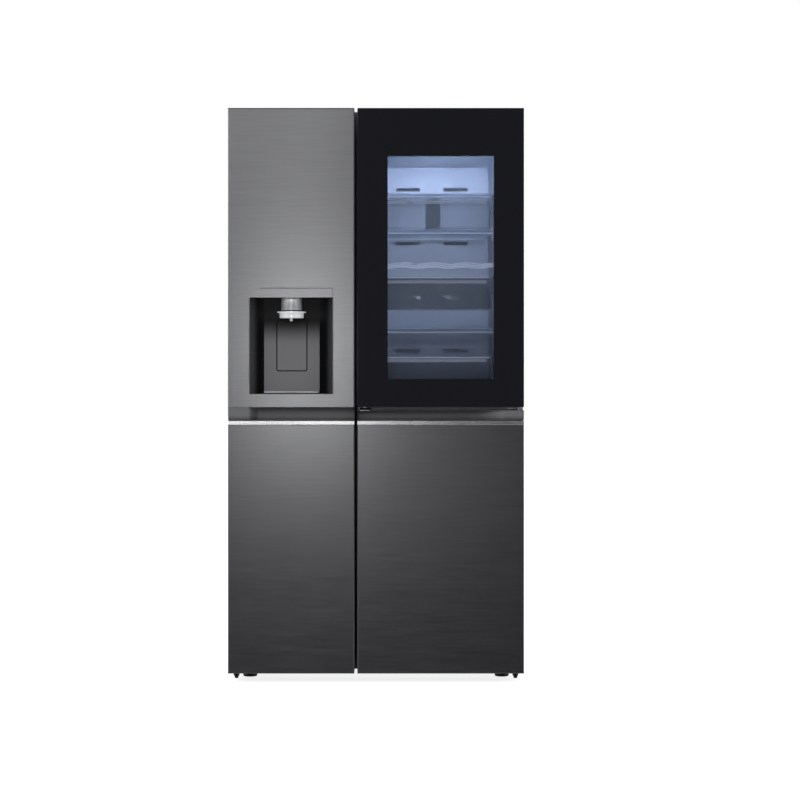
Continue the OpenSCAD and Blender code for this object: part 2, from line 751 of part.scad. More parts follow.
module crisper_lower() color(clear) drawer(fridge_x0 + 12, fridge_x1 - 20, 72, 116, 300);

outer_case();
back_panel();
base_frame();
top_cover();
cabinet_foam();
cavity_liners();
duct_covers();
evaporator();
fan_motors();
glass_shelves();
shelf_trims();
bottle_rack();
lamps();
door_hinges();
compressor();
condenser();
condenser_shroud();
drain_pan();
machine_cover();
water_valve();
power_inlet();
water_filter();
evaporator_fan();
condenser_fan();
rear_rollers();
foot_left();
foot_right();
freezer_door_skin();
freezer_door_foam();
freezer_door_liner();
freezer_door_gasket();
freezer_handle();
freezer_handle_strip();
freezer_door_caps();
freezer_door_bins();
dispenser_housing();
dispenser_panel();
dispenser_nozzle();
ice_maker_case();
ice_bin();
dispenser_lever();
drip_tray();
ice_tray();
ice_auger();
fridge_door_skin();
fridge_door_foam();
fridge_door_liner();
fridge_door_gasket();
fridge_handle();
fridge_handle_strip();
fridge_door_caps();
fridge_door_bins();
outer_door_glass();
outer_door_frame();
outer_door_inner_glass();
release_lever();
freezer_drawer_upper();
freezer_drawer_lower();
crisper_upper();
crisper_lower();
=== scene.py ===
"""Looks of the side-by-side refrigerator, built round its CAD frame. Metres, +Z up, doors towards -Y."""

import math

import bmesh
import bpy
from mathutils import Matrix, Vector


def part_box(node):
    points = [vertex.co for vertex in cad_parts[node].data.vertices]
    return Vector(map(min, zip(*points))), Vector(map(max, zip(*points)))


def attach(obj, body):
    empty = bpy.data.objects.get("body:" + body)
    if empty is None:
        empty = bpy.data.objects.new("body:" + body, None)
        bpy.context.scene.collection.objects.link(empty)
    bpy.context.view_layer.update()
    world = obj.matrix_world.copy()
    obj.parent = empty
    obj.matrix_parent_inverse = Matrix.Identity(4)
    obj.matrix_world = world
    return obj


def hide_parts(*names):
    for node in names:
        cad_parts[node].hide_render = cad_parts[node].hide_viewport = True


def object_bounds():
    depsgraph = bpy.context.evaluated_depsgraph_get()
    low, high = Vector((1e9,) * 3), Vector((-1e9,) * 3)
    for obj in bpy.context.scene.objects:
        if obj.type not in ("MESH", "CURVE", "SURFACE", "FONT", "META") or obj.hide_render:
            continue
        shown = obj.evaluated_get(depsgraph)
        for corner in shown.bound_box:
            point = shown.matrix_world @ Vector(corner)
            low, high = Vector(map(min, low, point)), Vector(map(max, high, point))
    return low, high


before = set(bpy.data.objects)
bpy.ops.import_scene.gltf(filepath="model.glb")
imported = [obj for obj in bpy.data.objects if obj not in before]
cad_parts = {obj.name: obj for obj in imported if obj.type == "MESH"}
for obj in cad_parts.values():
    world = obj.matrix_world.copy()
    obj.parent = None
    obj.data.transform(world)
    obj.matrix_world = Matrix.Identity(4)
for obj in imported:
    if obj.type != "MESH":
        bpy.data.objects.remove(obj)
cad_low, cad_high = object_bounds()
MM = 0.001
scene = bpy.context.scene

# ---- Camera, stage and light ----

FRAMED_WIDTH = 2.465      # what the picture's width covers at the door fronts
EYE_DISTANCE = 7.2        # from the door fronts
EYE_HEIGHT = 0.965
PICTURE_CENTRE = (0.074, 0.870)   # X and Z of the point in the middle of the picture
WALL_GLOW = 0.4           # brightness that reflections find at the sides and behind
FILL_BELOW, FILL_ABOVE = 0.2, 0.9   # diffuse fill from below and above the horizon
front_y = cad_low.y
eye_y = front_y - EYE_DISTANCE


def make_camera():
    data = bpy.data.cameras.new("camera")
    data.sensor_width = 36
    data.lens = data.sensor_width * EYE_DISTANCE / FRAMED_WIDTH
    data.shift_x = PICTURE_CENTRE[0] / FRAMED_WIDTH
    data.shift_y = (PICTURE_CENTRE[1] - EYE_HEIGHT) / FRAMED_WIDTH
    data.clip_end = 60
    camera = bpy.data.objects.new("camera", data)
    camera.location = (0, eye_y, EYE_HEIGHT)
    camera.rotation_euler = (math.radians(90), 0, 0)
    scene.collection.objects.link(camera)
    scene.camera = camera


def softbox(name, centre, target, size, brightness, colour=(1, 1, 1), seen=True):
    """A rectangular area light at centre, facing target, as bright as brightness times white."""
    data = bpy.data.lights.new(name, "AREA")
    data.shape = "RECTANGLE"
    data.size, data.size_y = size
    data.energy = brightness * math.pi * size[0] * size[1]
    data.color = colour
    light = bpy.data.objects.new(name, data)
    light.location = centre
    light.rotation_mode = "QUATERNION"
    light.rotation_quaternion = (Vector(target) - Vector(centre)).to_track_quat("-Z", "Y")
    scene.collection.objects.link(light)
    light.visible_camera = light.visible_glossy = light.visible_transmission = seen


def make_world():
    """White to the camera. Reflections see a dark room ahead and pale walls beside; fill comes from above."""
    world = bpy.data.worlds.new("studio")
    scene.world = world
    world.use_nodes = True
    nodes, links = world.node_tree.nodes, world.node_tree.links
    nodes.clear()
    output = nodes.new("ShaderNodeOutputWorld")
    path = nodes.new("ShaderNodeLightPath")
    direction = nodes.new("ShaderNodeTexCoord")
    split = nodes.new("ShaderNodeSeparateXYZ")
    links.new(direction.outputs["Generated"], split.inputs[0])
    shades = {}
    for name, axis, start, end, low, high in (
            ("camera", "Z", -1, 1, 1.0, 1.0),
            ("glossy", "Y", -0.9, -0.72, 0.004, WALL_GLOW),
            ("diffuse", "Z", -0.12, 0.35, FILL_BELOW, FILL_ABOVE)):
        level = nodes.new("ShaderNodeMapRange")
        level.interpolation_type = "SMOOTHSTEP"
        for socket, value in (("From Min", start), ("From Max", end), ("To Min", low), ("To Max", high)):
            level.inputs[socket].default_value = value
        shades[name] = nodes.new("ShaderNodeBackground")
        shades[name].inputs["Color"].default_value = (0.97, 0.98, 1, 1) if name != "camera" else (1, 1, 1,
                1)
        links.new(split.outputs[axis], level.inputs["Value"])
        links.new(level.outputs[0], shades[name].inputs["Strength"])
    unseen = nodes.new("ShaderNodeMixShader")
    seen = nodes.new("ShaderNodeMixShader")
    links.new(path.outputs["Is Glossy Ray"], unseen.inputs[0])
    links.new(shades["diffuse"].outputs[0], unseen.inputs[1])
    links.new(shades["glossy"].outputs[0], unseen.inputs[2])
    links.new(path.outputs["Is Camera Ray"], seen.inputs[0])
    links.new(unseen.outputs[0], seen.inputs[1])
    links.new(shades["camera"].outputs[0], seen.inputs[2])
    links.new(seen.outputs[0], output.inputs[0])


def make_floor():
    """A pale floor that bounces no light into the steel."""
    data = bpy.data.meshes.new("floor")
    reach = 40
    corners = [(-reach, -reach, 0), (reach, -reach, 0), (reach, reach, 0), (-reach, reach, 0)]
    data.from_pydata(corners, [], [(0, 1, 2, 3)])
    floor = bpy.data.objects.new("floor", data)
    scene.collection.objects.link(floor)
    floor.visible_glossy = False
    floor.visible_diffuse = False
    material = bpy.data.materials.new("floor")
    material.use_nodes = True
    shader = material.node_tree.nodes["Principled BSDF"]
    shader.inputs["Base Color"].default_value = (0.5, 0.5, 0.503, 1)
    shader.inputs["Roughness"].default_value = 0.7
    shader.inputs["Specular IOR Level"].default_value = 0.1
    shader.inputs["Emission Color"].default_value = (1, 1, 1, 1)
    shader.inputs["Emission Strength"].default_value = 0.8
    data.materials.append(material)


def make_lights():
    """Soft boxes beside and below the camera, out of what the black glass mirrors, and others all round."""
    near = front_y - 2.4
    softbox("key", (-0.3, near, 1.05), (-0.1, front_y, 1.0), (0.36, 0.46), 4.7)
    softbox("key_tall", (-0.3, near, 1.88), (-0.1, front_y, 1.2), (0.36, 1.1), 0.65)
    softbox("key_low", (-0.1, near, 0.56), (0, front_y, 0.8), (1.5, 0.4), 0.24)
    softbox("key_strip", (-0.2, near, 2.2), (-0.1, front_y, 0.8), (0.4, 0.3), 1.7)
    softbox("side_high", (-1.05, near, 2.2), (-0.3, front_y, 1.3), (0.36, 0.46), 7.2)
    softbox("top", (0, 0.2, 4.2), (0, 0, 0), (3.2, 2.4), 2.0)
    softbox("back_left", (-2.6, 3.6, 2.0), (0, 0, 0.9), (1.6, 2.0), 5.0)
    softbox("back_right", (2.8, 3.4, 1.6), (0, 0, 0.9), (1.6, 2.0), 4.0)
    softbox("flank_left", (-4.0, 0.4, 1.4), (0, 0, 0.9), (1.6, 1.8), 3.0)
    softbox("flank_right", (4.0, 0.4, 1.4), (0, 0, 0.9), (1.6, 1.8), 3.0)


make_camera()
make_world()
make_floor()
make_lights()
scene.view_settings.view_transform = "Standard"


# ---- Materials ----

def shader_of(material):
    return material.node_tree.nodes["Principled BSDF"]


def new_material(name, colour, roughness, metallic=0.0, **sockets):
    """A Principled material. sockets are set by their names, with _ for a space."""
    material = bpy.data.materials.new(name)
    material.use_nodes = True
    shader = shader_of(material)
    shader.inputs["Base Color"].default_value = (*colour, 1)
    shader.inputs["Roughness"].default_value = roughness
    shader.inputs["Metallic"].default_value = metallic
    for socket, value in sockets.items():
        shader.inputs[socket.replace("_", " ")].default_value = value
    return material


def noise(material, stretch, detail):
    """A noise texture in the piece's own metres; stretch is its cycles per metre along each axis."""
    nodes, links = material.node_tree.nodes, material.node_tree.links
    place = nodes.new("ShaderNodeTexCoord")
    mapping = nodes.new("ShaderNodeMapping")
    mapping.inputs["Scale"].default_value = stretch
    texture = nodes.new("ShaderNodeTexNoise")
    texture.inputs["Scale"].default_value = 1.0
    texture.inputs["Detail"].default_value = detail
    links.new(place.outputs["Object"], mapping.inputs["Vector"])
    links.new(mapping.outputs["Vector"], texture.inputs["Vector"])
    return texture.outputs["Fac"]


def spread(material, factor, socket, low, high):
    """Drives a number or a colour of the shader between low and high by factor."""
    nodes, links = material.node_tree.nodes, material.node_tree.links
    shader = shader_of(material)
    if isinstance(low, (int, float)):
        mix = nodes.new("ShaderNodeMapRange")
        mix.inputs["From Min"].default_value = 0.3
        mix.inputs["From Max"].default_value = 0.7
        mix.inputs["To Min"].default_value = low
        mix.inputs["To Max"].default_value = high
        links.new(factor, mix.inputs["Value"])
        links.new(mix.outputs[0], shader.inputs[socket])
        return
    ramp = nodes.new("ShaderNodeValToRGB")
    ramp.color_ramp.elements[0].position = 0.3
    ramp.color_ramp.elements[1].position = 0.7
    ramp.color_ramp.elements[0].color = (*low, 1)
    ramp.color_ramp.elements[1].color = (*high, 1)
    links.new(factor, ramp.inputs["Fac"])
    links.new(ramp.outputs["Color"], shader.inputs[socket])


def bump(material, height, strength, distance):
    nodes, links = material.node_tree.nodes, material.node_tree.links
    node = nodes.new("ShaderNodeBump")
    node.inputs["Strength"].default_value = strength
    node.inputs["Distance"].default_value = distance
    links.new(height, node.inputs["Height"])
    links.new(node.outputs["Normal"], shader_of(material).inputs["Normal"])


def paint_shade(material, axis, centre, start, end, shade):
    """Paints shade into the colour: scales it from 1 to shade as the distance from centre along axis goes
    from start to end.
    """
    nodes, links = material.node_tree.nodes, material.node_tree.links
    socket = shader_of(material).inputs["Base Color"]
    colour = socket.links[0].from_socket
    place = nodes.new("ShaderNodeTexCoord")
    split = nodes.new("ShaderNodeSeparateXYZ")
    links.new(place.outputs["Object"], split.inputs[0])
    away = nodes.new("ShaderNodeMath")
    away.operation = "SUBTRACT"
    away.inputs[1].default_value = centre
    links.new(split.outputs[axis], away.inputs[0])
    distance = nodes.new("ShaderNodeMath")
    distance.operation = "ABSOLUTE"
    links.new(away.outputs[0], distance.inputs[0])
    level = nodes.new("ShaderNodeMapRange")
    level.interpolation_type = "SMOOTHSTEP"
    for name, value in (("From Min", start), ("From Max", end), ("To Min", 1.0), ("To Max", shade)):
        level.inputs[name].default_value = value
    links.new(distance.outputs[0], level.inputs["Value"])
    mix = nodes.new("ShaderNodeMix")
    mix.data_type = "RGBA"
    mix.blend_type = "MULTIPLY"
    mix.inputs["Factor"].default_value = 1.0
    links.new(colour, mix.inputs["A"])
    links.new(level.outputs[0], mix.inputs["B"])
    links.new(mix.outputs["Result"], socket)


def scaled(colour, factor):
    return tuple(min(1.0, c * factor) for c in colour)


def brushed(name, colour, roughness, contrast=0.05, grain=(9, 9, 420), anisotropy=0.4):
    """Metal brushed along X: long fine streaks in colour, gloss and height."""
    material = new_material(name, colour, roughness, 1.0, Anisotropic=anisotropy, Anisotropic_Rotation=0.25)
    streaks = noise(material, grain, detail=4)
    spread(material, streaks, "Base Color", scaled(colour, 1 - contrast), scaled(colour, 1 + contrast))
    spread(material, streaks, "Roughness", roughness - 0.03, roughness + 0.03)
    hairs = noise(material, (grain[0] * 2, grain[1] * 2, grain[2] * 4), detail=2)
    bump(material, hairs, 0.12, 0.05 * MM)
    return material


def moulded(name, colour, roughness, grain=900, depth=0.04, contrast=0.03, **sockets):
    """Moulded plastic or textured paint: a fine pebble and a little unevenness in colour and gloss."""
    material = new_material(name, colour, roughness, **sockets)
    cloud = noise(material, (7, 7, 7), detail=2)
    spread(material, cloud, "Base Color", scaled(colour, 1 - contrast), scaled(colour, 1 + contrast))
    spread(material, cloud, "Roughness", roughness - 0.03, roughness + 0.04)
    bump(material, noise(material, (grain, grain, grain), detail=2), 0.15, depth * MM)
    return material


def metal(name, colour, roughness, contrast=0.06):
    """Plain metal with faint cloudy wear."""
    material = new_material(name, colour, roughness, 1.0)
    cloud = noise(material, (40, 40, 40), detail=4)
    spread(material, cloud, "Base Color", scaled(colour, 1 - contrast), scaled(colour, 1 + contrast))
    spread(material, cloud, "Roughness", roughness - 0.04, roughness + 0.06)
    return material


def clear(name, colour, facing, edge, roughness=0.06):
    """Clear glass or plastic: thin where it faces the eye and denser towards its edges."""
    material = new_material(name, colour, roughness, IOR=1.5)
    nodes, links = material.node_tree.nodes, material.node_tree.links
    weight = nodes.new("ShaderNodeLayerWeight")
    weight.inputs["Blend"].default_value = 0.35
    spread_range = nodes.new("ShaderNodeMapRange")
    spread_range.inputs["To Min"].default_value = facing
    spread_range.inputs["To Max"].default_value = edge
    links.new(weight.outputs["Facing"], spread_range.inputs["Value"])
    links.new(spread_range.outputs[0], shader_of(material).inputs["Alpha"])
    cloud = noise(material, (12, 12, 12), detail=2)
    spread(material, cloud, "Roughness", roughness * 0.7, roughness * 1.4)
    return material


def lamp_material(name, colour, strength):
    material = moulded(name, (0.9, 0.93, 1.0), 0.4)
    shader = shader_of(material)
    shader.inputs["Emission Color"].default_value = (*colour, 1)
    shader.inputs["Emission Strength"].default_value = strength
    return material


door_steel = brushed("door_steel", (0.33, 0.333, 0.345), 0.31)
panel_steel = brushed("panel_steel", (0.34, 0.343, 0.355), 0.31, contrast=0.03)
case_steel = moulded("case_steel", (0.075, 0.077, 0.082), 0.42, grain=1400, depth=0.08)
zinc_steel = metal("zinc_steel", (0.52, 0.53, 0.54), 0.36)
hinge_steel = metal("hinge_steel", (0.05, 0.05, 0.055), 0.42)
foam_material = moulded("foam", (0.75, 0.68, 0.47), 0.85, grain=260, depth=0.6, contrast=0.08)
liner_white = moulded("liner_white", (0.72, 0.74, 0.77), 0.34, grain=500, depth=0.02)
dark_plastic = moulded("dark_plastic", (0.085, 0.087, 0.093), 0.4)
black_plastic = moulded("black_plastic", (0.012, 0.012, 0.014), 0.32)
grey_plastic = moulded("grey_plastic", (0.27, 0.275, 0.285), 0.4)
white_plastic = moulded("white_plastic", (0.75, 0.77, 0.79), 0.38)
clear_plastic = clear("clear_plastic", (0.75, 0.82, 0.9), 0.10, 0.75)
rubber = moulded("rubber", (0.03, 0.03, 0.033), 0.62, grain=1600, depth=0.05)
# painted light: the spout's ring glows faintly, though it is no lamp
spout_chrome_painted_glow = moulded("spout_chrome_painted_glow", (0.96, 0.965, 0.97), 0.16, contrast=0.01, Metallic=0.2,
                       Coat_Weight=0.5,
                       Emission_Color=(1, 1, 1, 1), Emission_Strength=0.24)
spout_satin = moulded("spout_satin", (0.56, 0.565, 0.58), 0.34, contrast=0.02, Metallic=0.5)
# painted light: satin silver glows faintly, though none of its rails, trims, wires or stems is a lamp
satin_silver_painted_glow = moulded("satin_silver_painted_glow", (0.9, 0.91, 0.93), 0.3, depth=0.004, contrast=0.02, Metallic=0.4,
                       Emission_Color=(0.88, 0.9, 1, 1), Emission_Strength=0.22)
bright_strip = moulded("bright_strip", (0.95, 0.955, 0.97), 0.24, depth=0.004, contrast=0.01, Metallic=1.0)
# painted highlight: the strip's rolled edges take a lighter, part-diffuse copy of the strip metal so they
# read as lines of light
strip_bead_painted_highlight = moulded("strip_bead_painted_highlight", (0.66, 0.665, 0.68), 0.26, depth=0.004, contrast=0.01, Metallic=0.7)
aluminium = metal("aluminium", (0.76, 0.77, 0.78), 0.34)
copper = metal("copper", (0.72, 0.36, 0.2), 0.3)
shelf_glass = clear("shelf_glass", (0.62, 0.76, 0.86), 0.07, 0.85, roughness=0.03)
black_glass = new_material("black_glass", (0.0175, 0.018, 0.0215), 0.035, IOR=1.52, Coat_Weight=0.4,
                           Coat_Roughness=0.02)
window_glass = new_material("window_glass", (0.62, 0.66, 0.74), 0.0, IOR=1.48, Transmission_Weight=1.0)
lamp_lens = lamp_material("lamp_lens", (0.8, 0.88, 1.0), 1.3)


# ---- Making meshes ----

TURN = 2 * math.pi
QUARTER = (0, 30, 60, 90)       # degrees at which a quarter circle has its points
BEVELLED_ANGLE = 40             # edges sharper than this are bevelled
SMOOTH_ANGLE = 32               # edges sharper than this stay sharp in shading


def cosd(degrees):
    return math.cos(math.radians(degrees))


def sind(degrees):
    return math.sin(math.radians(degrees))


def in_metres(profile):
    """A profile given in millimetres."""
    return [(u * MM, v * MM) for u, v in profile]


def stacked(rings):
    """Rings of points from pairs of an outline in X and Z and its y."""
    return [[(u, y, v) for u, v in points] for points, y in rings]


def rounded_rectangle(x0, x1, y0, y1, radius, steps=5):
    """Corners turn anticlockwise from the low one."""
    radius = min(radius, (x1 - x0) / 2 - 1e-5, (y1 - y0) / 2 - 1e-5)
    points = []
    for cx, cy, start in ((x0 + radius, y0 + radius, 180), (x1 - radius, y0 + radius, 270),
                          (x1 - radius, y1 - radius, 0), (x0 + radius, y1 - radius, 90)):
        for step in range(steps + 1):
            angle = math.radians(start + 90 * step / steps)
            points.append((cx + radius * math.cos(angle), cy + radius * math.sin(angle)))
    return points


def on_plane(axis, u, v, w):
    """The point with coordinates u, v in the plane across axis, at w along it."""
    return {"X": (w, u, v), "Y": (u, w, v), "Z": (u, v, w)}[axis]


class Piece:
    """A mesh put together from closed forms, each with its own material."""

    def __init__(self, name):
        self.name = name
        self.mesh = bmesh.new()
        self.materials = []

    def _take(self, form, material, bevel=0.0, segments=2):
        if material not in self.materials:
            self.materials.append(material)
        bmesh.ops.remove_doubles(form, verts=form.verts, dist=1e-6)
        bmesh.ops.recalc_face_normals(form, faces=form.faces)
        if bevel:
            sharp = [e for e in form.edges
                     if len(e.link_faces) == 2 and e.calc_face_angle(0) > math.radians(BEVELLED_ANGLE)]
            bmesh.ops.bevel(form, geom=sharp, offset=bevel, offset_type="OFFSET", segments=segments,
                            profile=0.5, affect="EDGES", clamp_overlap=True)
        for face in form.faces:
            face.material_index = self.materials.index(material)
        mesh = bpy.data.meshes.new("form")
        form.to_mesh(mesh)
        form.free()
        self.mesh.from_mesh(mesh)
        bpy.data.meshes.remove(mesh)
        return self

    def box(self, low, high, material, bevel=0.0, segments=2):
        form = bmesh.new()
        bmesh.ops.create_cube(form, size=1)
        low, high = Vector(low), Vector(high)
        for vertex in form.verts:
            vertex.co = Vector(map(lambda c, a, b: a + (c + 0.5) * (b - a), vertex.co, low, high))
        return self._take(form, material, bevel, segments)

    def loft(self, rings, material, cap=True, loop=False, bevel=0.0, segments=2):
        """Joins rings of equally many points into a skin; cap closes its ends, loop joins last to first."""
        form = bmesh.new()
        rows = [[form.verts.new(point) for point in ring] for ring in rings]
        pairs = list(zip(rows, rows[1:] + rows[:1] if loop else rows[1:]))
        for lower, upper in pairs:
            for i in range(len(lower)):
                j = (i + 1) % len(lower)
                form.faces.new((lower[i], lower[j], upper[j], upper[i]))
        if cap and not loop:
            form.faces.new(reversed(rows[0]))
            form.faces.new(rows[-1])
        return self._take(form, material, bevel, segments)

    def prism(self, axis, outline, low, high, material, bevel=0.0, segments=2):
        """An outline in the plane across axis, extruded from low to high."""
        rings = [[on_plane(axis, u, v, w) for u, v in outline] for w in (low, high)]
        return self.loft(rings, material, bevel=bevel, segments=segments)

    def rod(self, axis, u, v, low, high, radius, material, bevel=0.0, sides=32):
        angles = [TURN * i / sides for i in range(sides)]
        outline = [(u + radius * math.cos(a), v + radius * math.sin(a)) for a in angles]
        return self.prism(axis, outline, low, high, material, bevel)

    def lathe(self, axis, u, v, profile, material, sides=40, closed=False):
        """A profile of (radius, height) turned about axis; closed when it makes a ring."""
        rings = []
        for radius, height in profile:
            radius = max(radius, 1e-5)
            angles = [TURN * i / sides for i in range(sides)]
            rings.append([on_plane(axis, u + radius * math.cos(a), v + radius * math.sin(a), height)
                          for a in angles])
        return self.loft(rings, material, cap=not closed, loop=closed)

    def tube(self, path, radius, material, sides=12, closed=False):
        """A round bar swept along a path."""
        path = [Vector(p) for p in path]
        rings, normal = [], None
        for i, point in enumerate(path):
            before = path[i - 1] if i or closed else point
            after = path[(i + 1) % len(path)] if i + 1 < len(path) or closed else point
            along = (after - before).normalized()
            if normal is None:
                normal = along.orthogonal().normalized()
            normal = (normal - along * normal.dot(along)).normalized()
            side = along.cross(normal)
            rings.append([point + radius * (math.cos(TURN * k / sides) * normal
                                            + math.sin(TURN * k / sides) * side) for k in range(sides)])
        return self.loft(rings, material, cap=not closed, loop=closed)

    def surround(self, x0, x1, z0, z1, radius, profile, material, steps=5):
        """A profile of (outward, y) carried round a rounded rectangle in the plane of X and Z."""
        rings = []
        for outward, y in profile:
            outline = rounded_rectangle(x0 - outward, x1 + outward, z0 - outward, z1 + outward,
                                        max(radius + outward, 0.1 * MM), steps)
            rings.append([(u, y, v) for u, v in outline])
        return self.loft(rings, material, loop=True)

    def tub(self, low, high, wall, radius, material, lip=0.0, draft=0.0, steps=5):
        """An open-topped tub with rounded corners, an outward lip and walls leaning in to the floor."""
        levels = [(draft + radius * 0.3, low[2]), (draft, low[2] + radius * 0.3),
                  (0, high[2] - 2 * lip - 1e-5)]
        if lip:
            levels += [(-lip, high[2] - 1.6 * lip), (-lip, high[2] - 0.4 * lip), (-lip * 0.5, high[2])]
        else:
            levels += [(0, high[2] - 0.3 * wall), (wall * 0.3, high[2])]
        levels += [(wall * 0.8, high[2]), (wall, high[2] - 0.3 * wall)]
        levels += [(draft + wall, low[2] + wall + radius * 0.3),
                   (draft + wall + radius * 0.3, low[2] + wall)]
        rings = []
        for inset, z in levels:
            outline = rounded_rectangle(low[0] + inset, high[0] - inset, low[1] + inset, high[1] - inset,
                                        max(radius - inset, 1 * MM), steps)
            rings.append([(u, v, z) for u, v in outline])
        return self.loft(rings, material)

    def finish(self, body, slot, replaces=(), smooth=SMOOTH_ANGLE):
        data = bpy.data.meshes.new(self.name)
        self.mesh.to_mesh(data)
        self.mesh.free()
        for material in self.materials:
            data.materials.append(material)
        data.polygons.foreach_set("use_smooth", [True] * len(data.polygons))
        data.set_sharp_from_angle(angle=math.radians(smooth))
        piece = bpy.data.objects.new(self.name, data)
        scene.collection.objects.link(piece)
        weight_normals(piece)
        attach(piece, body)
        if replaces:
            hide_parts(*replaces)
        return piece


def weight_normals(piece):
    modifier = piece.modifiers.new("flat faces", "WEIGHTED_NORMAL")
    modifier.keep_sharp = True
    modifier.weight = 80


def cut(piece, cutter):
    """Takes the cutter's shape out of a finished piece and drops the cutter."""
    modifier = piece.modifiers.new("cut", "BOOLEAN")
    modifier.operation = "DIFFERENCE"
    modifier.solver = "EXACT"
    modifier.object = cutter
    bpy.context.view_layer.update()
    evaluated = piece.evaluated_get(bpy.context.evaluated_depsgraph_get())
    data = bpy.data.meshes.new_from_object(evaluated)
    piece.modifiers.clear()
    piece.data = data
    data.set_sharp_from_angle(angle=math.radians(SMOOTH_ANGLE))
    weight_normals(piece)
    bpy.data.objects.remove(cutter)


def keep(node, material, bevel):
    """A CAD node whose shape is right: its edges are broken and its material is set."""
    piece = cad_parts[node]
    piece.data.materials.clear()
    piece.data.materials.append(material)
    weld = piece.modifiers.new("weld", "WELD")
    weld.merge_threshold = 0.02 * MM
    flatten = piece.modifiers.new("flatten", "DECIMATE")
    flatten.decimate_type = "DISSOLVE"
    flatten.angle_limit = math.radians(0.6)
    edges = piece.modifiers.new("edges", "BEVEL")
    edges.width = bevel
    edges.segments = 2
    edges.limit_method = "ANGLE"
    edges.angle_limit = math.radians(BEVELLED_ANGLE)
    weight_normals(piece)


def solids(node):
    """(low, high) of each separate solid of a CAD node, lowest first, then left to right."""
    mesh = bmesh.new()
    mesh.from_mesh(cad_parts[node].data)
    bmesh.ops.remove_doubles(mesh, verts=mesh.verts, dist=0.01 * MM)
    left, boxes = set(mesh.verts), []
    while left:
        group, edge = set(), [left.pop()]
        while edge:
            vertex = edge.pop()
            group.add(vertex)
            near = {e.other_vert(vertex) for e in vertex.link_edges} & left
            left -= near
            edge.extend(near)
        low = Vector([min(v.co[i] for v in group) for i in range(3)])
        high = Vector([max(v.co[i] for v in group) for i in range(3)])
        boxes.append((low, high))
    mesh.free()
    return sorted(boxes, key=lambda b: (round(b[0].z, 4), round(b[0].x, 4), round(b[0].y, 4)))


def smoothstep(t):
    t = min(max(t, 0.0), 1.0)
    return t * t * (3 - 2 * t)


# ---- Places taken from the frame ----

FIT = 0.4 * MM                      # the clearance that the frame leaves between pieces
SHEET = 1.2 * MM
freezer_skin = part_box("freezer_door_skin")
fridge_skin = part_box("fridge_door_skin")
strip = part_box("freezer_handle_strip")
freezer_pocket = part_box("freezer_handle")
fridge_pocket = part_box("fridge_handle")
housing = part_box("dispenser_housing")
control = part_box("dispenser_panel")
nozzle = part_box("dispenser_nozzle")
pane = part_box("outer_door_glass")
inner_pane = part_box("outer_door_inner_glass")
door_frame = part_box("outer_door_frame")
dispenser_x = (housing[0].x + housing[1].x) / 2
upper_z = pane[0].z
panel_top = strip[0].z - FIT


# ---- Door fronts ----

def door_sheet(name, body, low, high, z0, z1, radius=3 * MM, arc=6):
    """A folded sheet on a door: the front and both sides, with round vertical edges."""
    def side(inset):
        points = []
        r = radius - inset
        for cx, turn in ((low.x + radius, 180), (high.x - radius, 270)):
            for step in range(arc + 1):
                angle = math.radians(turn + 90 * step / arc)
                points.append((cx + r * math.cos(angle), low.y + radius + r * math.sin(angle)))
        return [(low.x + inset, high.y)] + points + [(high.x - inset, high.y)]

    outline = side(0) + side(SHEET)[::-1]
    sheet = Piece(name).prism("Z", outline, z0, z1, door_steel, bevel=0.35 * MM)
    return sheet.finish(body, "door_steel", [body + "_skin"])


def block(low, high):
    """A bare box used only to cut with."""
    form = bmesh.new()
    bmesh.ops.create_cube(form, size=1)
    for vertex in form.verts:
        vertex.co = Vector([low[i] + (vertex.co[i] + 0.5) * (high[i] - low[i]) for i in range(3)])
    data = bpy.data.meshes.new("cutter")
    form.to_mesh(data)
    form.free()
    cutter = bpy.data.objects.new("cutter", data)
    scene.collection.objects.link(cutter)
    return cutter


def door_skins():
    """The upper freezer sheet is cut for the dispenser; glass takes the place of an upper fridge sheet."""
    low, high = freezer_skin
    upper = door_sheet("freezer_upper_skin", "freezer_door", low, high, upper_z, high.z)
    reach = 5 * MM
    cut(upper, block((housing[0].x, low.y - reach, housing[0].z),
                     (housing[1].x, low.y + reach, housing[1].z)))
    door_sheet("freezer_lower_skin", "freezer_door", low, high, low.z, panel_top)
    low, high = fridge_skin
    door_sheet("fridge_lower_skin", "fridge_door", low, high, low.z, panel_top)


def strip_piece(name, node, body):
    """Bright strip: a face that leans back a little between two rolled edges that catch the light, and a
    lighter, part-diffuse material on the edges adds a painted highlight.
    """
    low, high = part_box(node)
    roll, lean = 1.5 * MM, math.radians(15)
    high = high - Vector((0, 0, 1.4 * MM))
    low_centre = (low.y + roll, low.z + roll)
    high_centre = (low.y + roll + (high.z - low.z - 2 * roll) * math.tan(lean), high.z - roll)
    outline = [(high.y, low.z)]
    for centre, start, end in ((low_centre, -math.pi / 2, lean), (high_centre, lean, math.pi / 2)):
        for step in range(5):
            angle = start + (end - start) * step / 4
            outline.append((centre[0] - roll * math.cos(angle), centre[1] + roll * math.sin(angle)))
    outline += [(high.y, high.z)]
    strip_body = Piece(name).prism("X", outline, low.x, high.x, bright_strip, bevel=0.15 * MM, segments=1)
    for y, z in (low_centre, high_centre):
        strip_body.rod("X", y, z, low.x + 0.1 * MM, high.x - 0.1 * MM, roll + 0.04 * MM, strip_bead_painted_highlight,
                       bevel=0.2 * MM)
    strip_body.finish(body, "bright_strip", [node], smooth=25)


